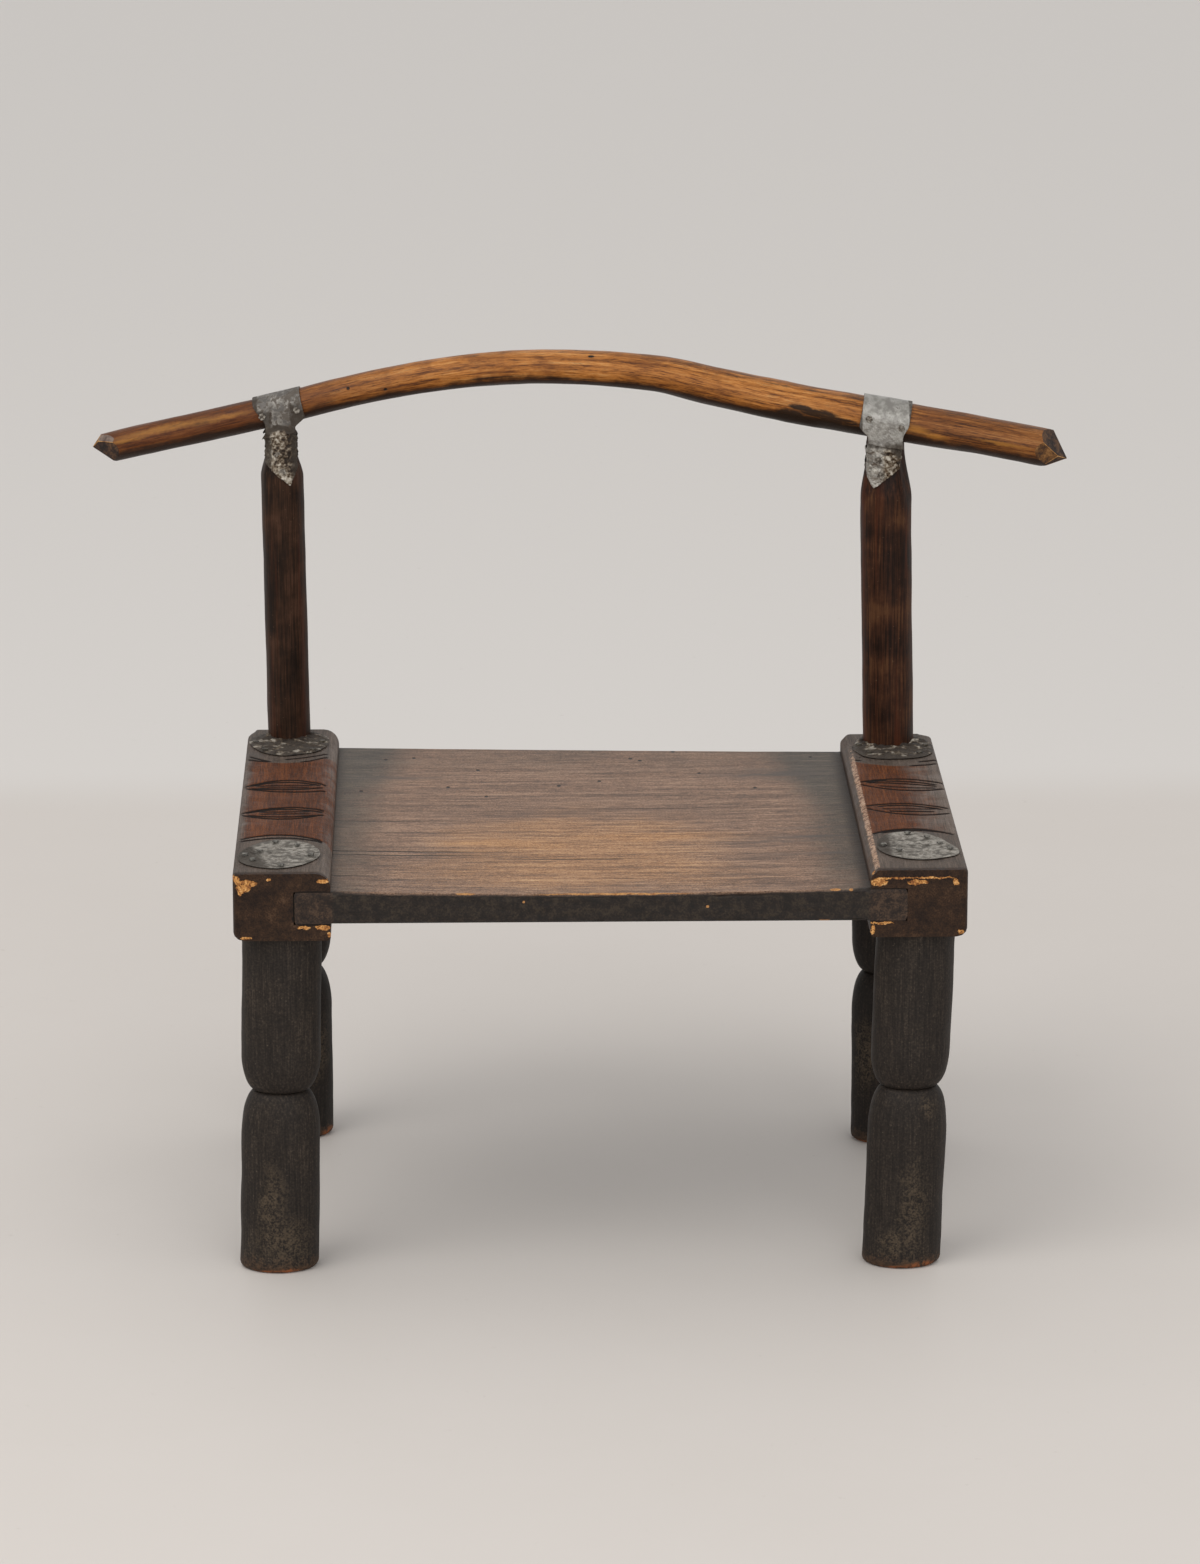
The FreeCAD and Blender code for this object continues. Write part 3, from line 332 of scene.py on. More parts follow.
# Marks on the board, as place and reach.
TAN, DARK_STREAKS, CRACKS = (
    [((x, y, z), (reach_x, reach_y, 9)) for x, y, reach_x, reach_y in marks]
    for z, *marks in (
        (241, (-36, -62, 40, 17), (-62, -58, 30, 10), (30, -45, 60, 13)),
        (
            241, (150, -50, 50, 5.0), (122, -60, 34, 2.6), (165, -30, 38, 3.0),
            (120, 96, 34, 11), (150, -88, 38, 3), (-120, 92, 26, 3),
        ),
        (
            240, (-118, -78, 66, 0.9), (-112, -86, 56, 0.9), (-10, -93, 44, 0.6),
            (-128, -10, 40, 0.5), (-150, -132, 20, 0.7), (50, 18, 70, 0.5),
        ),
    )
)  # fmt: skip
WORM_HOLES = tuple(
    ((x, y, 241), (1.2, 2.0, 9))
    for x, y in (
        (-125, 136), (-107, 140), (-85, 70), (-66, 110), (-15, 72), (11, 83), (32, 136), (38, 131),
        (60, 152), (109, 64), (148, 136), (-61, 48), (-140, 60), (75, 100),
    )
)  # fmt: skip


def rubbed_board(chips):
    """Seat board: fine straight grain, rubbed to warm tan where one sits, grey-brown and dark
    towards its ends and rear, near black along its edges."""
    finish, tree, shader, place = new_finish("rubbed_seat_board")
    sat, dusky, sooty = shares(tree, "rub")
    on_top, in_slot, _ = shares(tree, "wear")
    fine = fibres(tree, place, "X", 0.7, 6.0, 0.8, 16)
    broad = fibres(tree, place, "X", 4.0, 6.0, 0.75, 20)
    cloud, patch, specks = clouds(tree, place, 42.0, 6.0, 1.1)
    tone = total(tree, (fine, 0.45), (broad, 0.3), (specks, 0.25))
    grit = total(tree, (patch, 0.5), (specks, 0.5))
    grain = (0.445, 0.48, 0.51, 0.54, 0.575)
    plain, tan, dusk, edge, slot, raw = (
        add(tree, "ValToRGB", {"stops": (places, shades)}, {"Fac": pattern})
        for pattern, places, shades in (
            (tone, grain, ("#47362b", "#6b5242", "#826551", "#937560", "#a78b76")),
            (tone, grain, ("#6c4c31", "#906743", "#a67952", "#b68b60", "#c9a277")),
            (tone, (0.44, 0.485, 0.525, 0.565), ("#2b241f", "#443c33", "#574d43", "#6e6255")),
            (grit, (0.4, 0.5, 0.6), ("#120d09", "#1f1712", "#32291f")),
            (grit, (0.4, 0.5, 0.6), ("#190f0a", "#2d2017", "#483628")),
            (grit, (0.4, 0.6), ("#8a5a30", "#c08f58")),
        )
    )
    bright = mask_of(tree, 1.0, 1.75, 0.75, (sat, 1.0), (cloud, 0.9), (broad, 0.6))
    stained = mask_of(tree, 0.4, 0.56, 0.85, (broad, 1.0))
    holes = near_spots(tree, place, WORM_HOLES, 0.5, 3.0, 0.2)
    split = near_spots(tree, place, CRACKS, 1.4, 12.0, 0.45)
    dark = add(tree, "Math", HIGHER, {0: holes, 1: split})
    layers = (
        (add(tree, "Math", HIGHER, {0: bright, 1: near_spots(tree, place, TAN, 12.0, 30.0, 0.5)}), tan),
        (mask_of(tree, 1.0, 1.75, 1.0, (dusky, 1.0), (broad, 1.1), (cloud, 0.5)), dusk),
        (near_spots(tree, place, DARK_STREAKS, 7.0, 18.0, 0.6, stained), "#4b433e"),
        (mask_of(tree, 0.6, 0.7, 0.55, (fine, 1.0)), "#4a382c"),
        (mask_of(tree, 0.65, 1.2, 1.0, (sooty, 1.0), (broad, 0.6)), "#29221e"),
        (dark, "#1d1612"),
    )
    top = layered(tree, plain, *layers)
    chipped = near_spots(tree, place, chips, 1.0, 4.0, 0.08)
    wood = layered(tree, edge, (in_slot, slot), (on_top, top), (chipped, raw))
    add_relief(tree, shader, (fine, 0.1), (broad, 0.2), (dark, -0.6), (specks, 0.05))
    gloss = add(tree, "MapRange", {}, {"Value": tone, 1: 0.36, 2: 0.64, 3: 0.48, 4: 0.66})
    join(tree, shader, {"Base Color": wood, "Roughness": gloss, "Specular IOR Level": 0.3})
    return finish


def blackened_leg(name, shades, worn, chips):
    """Carved leg blackened by smoke and hands: matte, finely speckled grey-black, khaki where it is
    rubbed and raw at the worn rim of the foot. The rear legs' darker shades are painted shade."""
    finish, tree, shader, place = new_finish(name)
    height = add(tree, "SeparateXYZ", {}, {0: place}).outputs["Z"]
    fine = fibres(tree, place, "Z", 1.2, 6.0, 0.7)
    cloud, patch, specks = clouds(tree, place, 24.0, 4.0, 1.3)
    tone = total(tree, (fine, 0.4), (patch, 0.1), (specks, 0.35), (cloud, 0.15))
    wood = add(tree, "ValToRGB", {"stops": ((0.40, 0.48, 0.54, 0.61), shades)}, {"Fac": tone})
    speckled = mask_of(tree, 0.4, 0.62, 0.55, (specks, 0.6), (patch, 0.4))
    foot = add(tree, "MapRange", {}, {"Value": height, 1: 0.016, 2: 0.0})
    splintered = mask_of(tree, 0.36, 0.56, 0.8, (patch, 1.0))
    layers = (
        (near_spots(tree, place, worn, 9.0, 16.0, 0.55, speckled), "#5f5140"),
        (mask_of(tree, 0.68, 0.76, 0.5, (specks, 1.0)), "#7d7060"),
        (mask_of(tree, 0.78, 1.15, 0.6, (foot, 0.5), (specks, 0.6), (patch, 0.6)), "#5b4330"),
        (near_spots(tree, place, chips, 2.2, 5.0, 0.4, splintered), "#8f532e"),
    )
    wood = layered(tree, wood, *layers)
    add_relief(tree, shader, (fine, 0.08), (patch, 0.2), (specks, 0.06))
    gloss = add(tree, "MapRange", {}, {"Value": cloud, 1: 0.3, 2: 0.7, 3: 0.56, 4: 0.7})
    join(tree, shader, {"Base Color": wood, "Roughness": gloss, "Specular IOR Level": 0.22})
    return finish


def beaten_sheet(name, bare, shine):
    """Reused sheet iron flattened with a hammer: dull grey, light on its lumps, brown rust in its
    pits and black grime at its rim."""
    finish, tree, shader, place = new_finish(name)
    pitted, grimy, bright = shares(tree, "wear")
    cloud, patch, pit = clouds(tree, place, 9.0, 4.5, 2.6)
    lumps = (0.42, 0.47, 0.52, 0.57, 0.64), ("#231910", "#463829", "#6b5e4e", "#8f8678", "#bcb5a9")
    even, knobbly = (
        add(tree, "ValToRGB", {"stops": stops}, {"Fac": total(tree, *parts)})
        for stops, *parts in (
            (((0.43, 0.5, 0.58), bare), (cloud, 0.5), (patch, 0.5)),
            (lumps, (pit, 0.75), (patch, 0.25), (bright, 0.16)),
        )
    )
    rust = mask_of(tree, 0.49, 0.56, 0.85, (patch, 0.55), (pit, 0.45), (bright, -0.12))
    dirt = mask_of(tree, 0.85, 1.25, 0.9, (grimy, 1.0), (patch, 1.2))
    metal = layered(tree, even, (rust, "#4a4138"), (pitted, knobbly), (dirt, "#332a20"))
    covered = add(tree, "Math", HIGHER, {0: rust, 1: dirt})
    metallic = add(tree, "MapRange", {}, {"Value": covered, 3: shine, 4: 0.05})
    uneven = total(tree, (covered, 0.5), (cloud, 0.4))
    gloss = add(tree, "MapRange", {}, {"Value": uneven, 1: 0.1, 2: 0.7, 3: 0.66 - 0.4 * shine, 4: 0.78})
    add_relief(tree, shader, (pit, 0.4), (patch, 0.3), (cloud, 0.3))
    join(tree, shader, {"Base Color": metal, "Metallic": metallic, "Roughness": gloss})
    return finish


def nail_iron(name, shades, shine):
    """Hand-made nails and tacks, hammered down: dull iron with brown in its dents."""
    finish, tree, shader, place = new_finish(name)
    (cloud,) = clouds(tree, place, 2.0)
    metal = add(tree, "ValToRGB", {"stops": ((0.4, 0.5, 0.62), shades)}, {"Fac": cloud})
    add_relief(tree, shader, (cloud, 0.3))
    join(tree, shader, {"Base Color": metal, "Metallic": shine, "Roughness": 0.6})
    return finish


def painted_ground(name, shades):
    """Matte studio paint with faint scuffs."""
    finish, tree, shader, place = new_finish(name)
    cloud, scuffs = clouds(tree, place, 260.0, 9.0)
    depth = add(tree, "SeparateXYZ", {}, {0: place}).outputs["Y"]
    beyond = mask_of(tree, 0.88, 1.02, 1.0, (depth, 1.0))
    worn = mask_of(tree, 0.66, 0.8, 0.3, (scuffs, 1.0))
    paint = layered(tree, shades[0], (cloud, shades[1]), (beyond, shades[2]), (worn, "#a89f97"))
    join(tree, shader, {"Base Color": paint, "Roughness": 0.6, "Specular IOR Level": 0.3})
    return finish


# Shapes. The straps' half width and the size of their net, and the thickness of a patch.
STRAP_HALF_WIDTH = 15.6
STRAP_NET = 0.42
PATCH_THICKNESS = 1.1
# Sides of the round pieces, stations along the branch and rings of a patch.
LEG_SIDES = 72
POLE_SIDES = 56
PATCH_SIDES = 168
BRANCH_STATIONS = 300
PATCH_RINGS = 44


def sweep(bm, count):
    """Extend a closed ring of edges in the XY plane into count stations one unit apart along Z."""
    made = bmesh.ops.extrude_edge_only(bm, edges=list(bm.edges))["geom"]
    far = [item for item in made if isinstance(item, bmesh.types.BMVert)]
    bmesh.ops.translate(bm, vec=(0, 0, count - 1), verts=far)
    long_edges = [edge for edge in bm.edges if abs(edge.verts[0].co.z - edge.verts[1].co.z) > 0.5]
    bmesh.ops.subdivide_edges(bm, edges=long_edges, cuts=count - 2)


def tube(segments, count):
    """A bmesh of an open round tube of radius 1, its count stations one unit apart along Z."""
    bm = bmesh.new()
    bmesh.ops.create_circle(bm, segments=segments, radius=1.0)
    sweep(bm, count)
    return bm


def close_ends(bm, inset=0.0):
    """Cap both open ends, each cap with a narrow rim where an inset is given."""
    rims = [edge for edge in bm.edges if edge.is_boundary]
    caps = bmesh.ops.holes_fill(bm, edges=rims, sides=0)["faces"]
    for cap in caps:
        cap.tag = True
    if inset:
        bmesh.ops.inset_individual(bm, faces=caps, thickness=inset)
    bmesh.ops.recalc_face_normals(bm, faces=bm.faces)


def side_normals(bm):
    """The outward direction at each point, from the faces around it that aren't caps."""
    bm.normal_update()
    found = {}
    for point in bm.verts:
        outward = Vector()
        for face in point.link_faces:
            if not face.tag:
                outward += face.normal
        found[point] = outward.normalized() if outward.length > 0 else Vector()
    return found


def rough(point, pitch, depth, octaves=3):
    """Uneven hand-worked surface: a smooth noise of about the given pitch and depth."""
    return depth * noise.fractal(Vector(point) / pitch, 1.0, 2.0, octaves)


def through(table, at):
    """Smooth value at a position from rows of position and values."""
    rows = [table[0], *table, table[-1]]
    for k in range(1, len(rows) - 2):
        if at <= rows[k + 1][0] or k == len(rows) - 3:
            break
    before, low, high, after = rows[k - 1], rows[k], rows[k + 1], rows[k + 2]
    span = high[0] - low[0]
    t = min(1.0, max(0.0, (at - low[0]) / span))
    values = []
    for n in range(1, len(low)):
        rise_low = (high[n] - before[n]) / (high[0] - before[0]) * span
        rise_high = (after[n] - low[n]) / (after[0] - low[0]) * span
        values.append(
            (2 * t**3 - 3 * t**2 + 1) * low[n]
            + (t**3 - 2 * t**2 + t) * rise_low
            + (3 * t**2 - 2 * t**3) * high[n]
            + (t**3 - t**2) * rise_high
        )
    return values


def worn_back(distance, radius):
    """How far a rounded edge falls back at a distance from the end of a piece."""
    if distance >= radius:
        return 0.0
    return radius - math.sqrt(max(0.0, radius**2 - (radius - distance) ** 2))


def bump(value, centre, width):
    """1 at a centre, falling smoothly away on both sides of it."""
    return math.exp(-(((value - centre) / width) ** 2))


def ease(value, low, high):
    """0 up to low, 1 from high, smooth between."""
    t = min(1.0, max(0.0, (value - low) / (high - low)))
    return t * t * (3 - 2 * t)


def finish_piece(name, bm, finishes, slot, *nodes, sharp):
    """Turn a bmesh in millimetres into a piece of the chair that stands for its CAD nodes."""
    bmesh.ops.recalc_face_normals(bm, faces=bm.faces)
    bmesh.ops.scale(bm, vec=(MM, MM, MM), verts=bm.verts)
    mesh = bpy.data.meshes.new(name)
    bm.to_mesh(mesh)
    bm.free()
    mesh.shade_smooth()
    mesh.set_sharp_from_angle(angle=math.radians(sharp))
    for finish in finishes:
        mesh.materials.append(finish)
    piece = bpy.data.objects.new(name, mesh)
    scene.collection.objects.link(piece)
    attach(piece, "root")
    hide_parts(*nodes)


# Side rails. A carved line is three points in plan: its ends and the middle that it bends through.
CARVED_LINES = {
    "left": (
        ((-212.1, -93.2), (-184.8, -82.6), (-157.1, -101.6)),
        ((-212.0, -97.7), (-184.7, -89.3), (-159.1, -101.1)),
        ((-213.3, -34.2), (-187.1, -20.0), (-160.2, -28.5)),
        ((-210.2, -33.1), (-186.4, -24.0), (-161.6, -31.9)),
        ((-212.9, -36.5), (-186.5, -46.3), (-160.3, -35.4)),
        ((-209.5, -37.1), (-186.6, -41.2), (-165.2, -37.6)),
        ((-202.9, -29.8), (-186.3, -29.8), (-169.0, -29.4)),
        ((-202.8, -34.5), (-186.2, -34.4), (-168.9, -34.1)),
        ((-212.7, 27.6), (-187.4, 43.9), (-158.3, 28.8)),
        ((-209.0, 29.9), (-186.1, 39.6), (-164.0, 30.1)),
        ((-212.3, 25.2), (-186.2, 16.6), (-157.5, 20.5)),
        ((-208.9, 25.6), (-185.7, 22.3), (-162.6, 26.5)),
        ((-206.5, 31.0), (-187.1, 31.6), (-168.4, 31.9)),
        ((-205.1, 26.3), (-187.0, 26.6), (-170.1, 26.9)),
        ((-212.0, 102.6), (-204.5, 95.1), (-196.2, 88.8)),
        ((-212.8, 95.0), (-205.7, 91.2), (-198.2, 88.8)),
        ((-189.3, 94.5), (-174.1, 100.3), (-160.9, 108.6)),
        ((-179.6, 88.2), (-168.9, 93.8), (-160.2, 102.4)),
    ),
    "right": (
        ((171.3, -90.6), (197.2, -77.2), (223.7, -91.7)),
        ((178.3, -86.2), (198.2, -80.8), (222.6, -89.5)),
        ((171.0, -26.0), (196.9, -19.3), (225.1, -32.5)),
        ((172.7, -29.0), (202.5, -45.4), (225.0, -41.7)),
        ((181.9, -30.8), (197.3, -31.4), (217.7, -32.3)),
        ((186.5, -36.3), (196.9, -37.4), (216.0, -38.3)),
        ((179.7, -25.7), (199.7, -24.1), (221.2, -34.7)),
        ((172.0, 30.9), (194.5, 38.7), (226.7, 26.1)),
        ((172.5, 27.5), (204.6, 11.0), (225.9, 15.4)),
        ((177.0, 30.8), (198.2, 27.7), (221.5, 20.3)),
        ((182.9, 23.5), (200.7, 18.6), (221.2, 16.7)),
        ((175.9, 33.2), (196.1, 33.5), (221.8, 23.8)),
        ((171.3, 116.0), (176.0, 116.4), (180.9, 117.0)),
        ((171.4, 84.5), (174.7, 84.1), (178.3, 83.6)),
        ((175.3, 94.9), (177.0, 90.9), (178.6, 86.3)),
        ((206.1, 70.3), (216.4, 72.0), (225.6, 75.7)),
        ((212.5, 79.4), (219.0, 81.7), (226.3, 85.2)),
    ),
}
HANDLED_LIMITS = {
    "left": (((-213, -95), (-186, -86), (-156, -101)), ((-213, 95), (-188, 86), (-158, 102))),
    "right": (((169, -90), (197, -79), (226, -90)), ((170, 84), (200, 70), (228, 80))),
}
CUT_HALF_WIDTH = 1.9
CUT_DEPTH = 1.8
# Worn edges of each rail: width of its chamfer and how far that is softened, how far its front top
# edge is rounded, how deep its chamfer is hacked, and width and length of its rear outer taper.
RAIL_EDGES = {"left": (5.5, 3.4, 3.7, 0.3, 4.0, 17.0), "right": (4.4, 1.2, 5.2, 0.5, 6.5, 8.0)}


def bent_line(points, x):
    """Y at x of the parabola through three points."""
    (x0, y0), (x1, y1), (x2, y2) = points
    return (
        y0 * (x - x1) * (x - x2) / ((x0 - x1) * (x0 - x2))
        + y1 * (x - x0) * (x - x2) / ((x1 - x0) * (x1 - x2))
        + y2 * (x - x0) * (x - x1) / ((x2 - x0) * (x2 - x1))
    )


def carving(side, x, y):
    """Depth of the carved lines at a spot of a rail's top, as a share, and their raised lip."""
    cut = lip = 0.0
    for points in CARVED_LINES[side]:
        low, high = points[0][0], points[2][0]
        if not low - 0.5 < x < high + 0.5:
            continue
        faint = 0.5 if 30 < high - low < 40 else 1.0
        away = y - bent_line(points, x) - 0.5 * noise.noise(Vector((x / 6, y / 40, low)))
        if abs(away) > 5:
            continue
        fade = faint * ease(min(x - low, high - x), -0.5, 4.0)
        fade *= 0.75 + 0.5 * abs(noise.noise(Vector((x / 9, low, 3))))
        cut = max(cut, fade * max(0.0, 1 - abs(away) / CUT_HALF_WIDTH))
        near_side = 1.0 if away < 0 else 0.35
        lip = max(lip, near_side * fade * bump(abs(away), 2.5, 0.9))
    return cut, lip


def side_rail(side, finish):
    """A grooved bar with worn edges, carved on top, its plan corners taken off at the rear."""
    sign = SIDES[side]
    edge_cut, softened, nose, hack_depth, taper_width, taper_length = RAIL_EDGES[side]
    bm = bmesh.new()
    wear = bm.verts.layers.float_vector.new("wear")
    rub = bm.verts.layers.float_vector.new("rub")
    corners = (
        (0, RAIL_BOTTOM), (RAIL_WIDTH, RAIL_BOTTOM),
        (RAIL_WIDTH, BOARD_BOTTOM), (RAIL_WIDTH - SLOT_DEPTH, BOARD_BOTTOM),
        (RAIL_WIDTH - SLOT_DEPTH, BOARD_TOP), (RAIL_WIDTH, BOARD_TOP),
        (RAIL_WIDTH, RAIL_TOP - edge_cut), (RAIL_WIDTH - edge_cut, RAIL_TOP),
        (0, RAIL_TOP),
    )  # fmt: skip
    points = [bm.verts.new((*corner, 0)) for corner in corners]
    bm.faces.new(points)
    for corner, offset in ((0, 4.5), (1, 2.2), (2, 0.6), (5, 0.6), (6, softened), (7, softened), (8, 2.4)):
        bmesh.ops.bevel(
            bm, geom=[points[corner]], offset=offset, offset_type="OFFSET", segments=3, profile=0.5,
            affect="VERTICES", material=-1,
        )  # fmt: skip
    bmesh.ops.delete(bm, geom=list(bm.faces), context="FACES_ONLY")
    for edge in list(bm.edges):
        high = min(v.co.y for v in edge.verts) > RAIL_TOP - 6
        cuts = int(edge.calc_length() / (1.2 if high else 3.0))
        if cuts:
            bmesh.ops.subdivide_edges(bm, edges=[edge], cuts=cuts)
    length = REAR[side] - FRONT
    count = int(length / 0.5) + 1
    sweep(bm, count)
    close_ends(bm, 0.25)
    for point in bm.verts:
        inset, height, station = point.co
        y = FRONT + length * station / (count - 1)
        point.co = (OUTER_FACE[side] - sign * inset, y, height)
    bmesh.ops.recalc_face_normals(bm, faces=bm.faces)
    facing = side_normals(bm)
    for point in bm.verts:
        x, y, z = point.co
        inset = (OUTER_FACE[side] - x) * sign
        normal = facing[point]
        if all(face.tag for face in point.link_faces):
            normal = Vector()
        front, rear = y - FRONT, REAR[side] - y
        top = z > RAIL_TOP - 0.9
        chamfer = z > BOARD_TOP + 4 and inset > RAIL_WIDTH - CHAMFER_STRIP
        in_slot = BOARD_BOTTOM - 0.1 < z < BOARD_TOP + 0.1 and inset > 30
        edge = 0.2 if in_slot else nose if z > RAIL_TOP - 3 else 1.3
        fall = worn_back(front, edge) + worn_back(rear, 2.0)
        shift = normal * (-fall)
        share = inset / RAIL_WIDTH
        drawn = taper_width * ease(taper_length - rear, 0, taper_length) ** 1.5 * (1 - share)
        drawn += 3.6 * worn_back(front, 5.0) / 5.0 * (1 - share)
        drawn -= 1.8 * worn_back(rear, 2.8) / 2.8 * share
        drawn = 0.0 if in_slot else drawn
        shift += Vector((-sign * drawn, 0, 0))
        exposed = 0.0 if in_slot else 1.0
        sag = rough((x, y, z), 26, 0.22) + rough((x * 3, y, z * 3), 9, 0.1)
        shift += normal * (min(0.0, sag - 0.12) * exposed)
        if chamfer:
            hacked = ease(inset, RAIL_WIDTH - CHAMFER_STRIP, RAIL_WIDTH - 3.5) * hack_depth
            shift -= normal * abs(rough((x, y * 0.7, z), 6, hacked))
        cut = lip = 0.0
        if top and not chamfer:
            cut, lip = carving(side, x, y)
            shift.z -= CUT_DEPTH * cut
        low, high = (bent_line(limit, x) for limit in HANDLED_LIMITS[side])
        between = ease(y, low - 1.5, low + 1.5) * (1 - ease(y, high - 1.5, high + 1.5))
        if side == "left":
            spread = ease(inset, -3, 10) * (1 - 0.35 * ease(inset, 44, 58))
        else:
            spread = 0.45 * ease(inset, 0, 12) + 0.55 * ease(inset, 12, 36)
        shoulder = top or (chamfer and side == "left")
        point[wear] = (between * spread * shoulder, cut, lip)
        edge_rub = 0.0
        if chamfer:
            edge_rub = 0.9 if side == "right" else 0.15 + 0.3 * ease(-y, -40, 110)
            edge_rub *= 1 - 0.5 * ease(y, 60, 140)
            edge_rub *= ease(front, 2, 8) * (1 - 0.8 * ease(inset, RAIL_WIDTH - 3.2, RAIL_WIDTH - 1.6))
        upper = ease(front, 2.5, 7.0) * (1.0 if shoulder else 0.5) if top or chamfer else 0.0
        point[rub] = (edge_rub, upper, 1 - between if top else 0.0)
        point.co += shift
    finish_piece(f"carved_rail_{side}", bm, [finish], "rail_wood", f"side_rail_{side}", sharp=50)


# How deep the seat is hollowed at its front and at its rear.
DISH_FRONT = 2.3
DISH_REAR = 0.3


def seat_board(finish):
    """The seat: a board between the grooves, hollowed most at its front, with worn long edges."""
    left, right = -177.1, 189.7
    bm = bmesh.new()
    bmesh.ops.create_cube(bm, size=1.0)
    for axis, cuts in ((0, 170), (1, 140), (2, 12)):
        edges = [e for e in bm.edges if abs(e.verts[0].co[axis] - e.verts[1].co[axis]) > 1e-6]
        bmesh.ops.subdivide_edges(bm, edges=edges, cuts=cuts, use_grid_fill=True)
    wear = bm.verts.layers.float_vector.new("wear")
    rub = bm.verts.layers.float_vector.new("rub")
    middle, half = 6.1, 161.6
    for point in bm.verts:
        u, v, w = (c + 0.5 for c in point.co)
        x = left + (right - left) * u
        if u < 0.001:
            x += 0.3 * noise.noise(Vector((w * 3, 0, 5)))
        rear = REAR["left"] - (REAR["left"] - REAR["right"]) * u
        v -= 0.12 * math.sin(2 * math.pi * v) / (2 * math.pi)
        y = FRONT + (rear - FRONT) * v
        z = BOARD_BOTTOM + (BOARD_TOP - BOARD_BOTTOM) * w
        across = min(1.0, abs(x - middle) / half)
        housed = ease(abs(x - middle), half - 1.0, half + 0.5)
        depth = DISH_FRONT - (DISH_FRONT - DISH_REAR) * (y - FRONT) / (rear - FRONT)
        depth *= 1 - across**2
        z -= (depth + 0.12 + 0.5 * rough((x, y * 2.5, 0), 40, 0.3)) * w * (1 - housed)
        ends = min(y - FRONT, rear - y)
        chipped = max(0.0, rough((x, 3, 0), 14, 1.2, 4)) if y < 0 else 0.3
        radius = (1.4 + chipped) * (1 - housed) + 0.2
        under = z - BOARD_BOTTOM
        over = BOARD_TOP - depth - z
        slip = worn_back(ends, radius)
        if over < radius:
            z -= slip * (1 - over / radius)
        if under < radius:
            z += slip * (1 - under / radius)
        tool = rough((x / 3, y, z * 2), 7, 0.35) * (1 - housed)
        if ends < 0.01:
            y += (abs(tool) + worn_back(over, radius)) * (1 if y < 0 else -1)
        point.co = (x, y, z)
        top = 1.0 if w > 0.995 and ends > 0.6 else 0.0
        front = (y - FRONT) / (rear - FRONT)
        sat = bump(x, -5, 105) * bump(front, 0.3, 0.26)
        sat += 0.3 * math.exp(-(((x - 10) / 140) ** 4)) * bump(front, 0.1, 0.11)
        dusky = ease(abs(x - middle), 105, 158) * (0.65 + 0.2 * front) + 0.45 * ease(front, 0.6, 1.0)
        dusky += 0.22 * ease(x, 100, 150) * (0.2 + 0.8 * front)
        sooty = ease(abs(x - middle), 144, 162) * (0.55 if x < 0 else 0.75)
        sooty += 0.45 * (1 - ease(ends, 0, 5))
        point[wear] = (top, 1.0 if abs(x - middle) > half - 0.2 else 0.0, 0)
        point[rub] = (sat, dusky, sooty)
    finish_piece("dished_seat_board", bm, [finish], "board_wood", "seat_board", sharp=60)


# Each leg: its place in plan under the rail, and how far its foot stands from that along X.
LEGS = {
    ("front", "left"): ((-185.4, -144.0), -4.0),
    ("front", "right"): ((196.7, -144.0), -6.6),
    ("rear", "left"): ((-185.4, 114.0), 0.6),
    ("rear", "right"): ((196.7, 94.0), 1.0),
}
TENON_X = {"left": -188.4, "right": 200.6}
TENON_SIDE = 18.8
TENON_LENGTH = 41.3
# The waist of a leg: its height, half width there and in the blocks, and from how far above and
# below it the blocks close in to it.
WAIST = 112.9
WAIST_HALF_WIDTH = 15.6
BLOCK_HALF_WIDTH = 24.4
CLOSES_ABOVE = 22.0
CLOSES_BELOW = 28.0


def leg_half_width(z):
    """Half width of a leg: a block that closes to a sharp waist, a second block and a rounded foot."""
    away = min(1.0, (z - WAIST) / CLOSES_ABOVE if z >= WAIST else (WAIST - z) / CLOSES_BELOW)
    swell = (BLOCK_HALF_WIDTH - WAIST_HALF_WIDTH) * math.sqrt(1 - (1 - away) ** 2)
    return WAIST_HALF_WIDTH + swell - 0.9 * worn_back(z, 4.0)


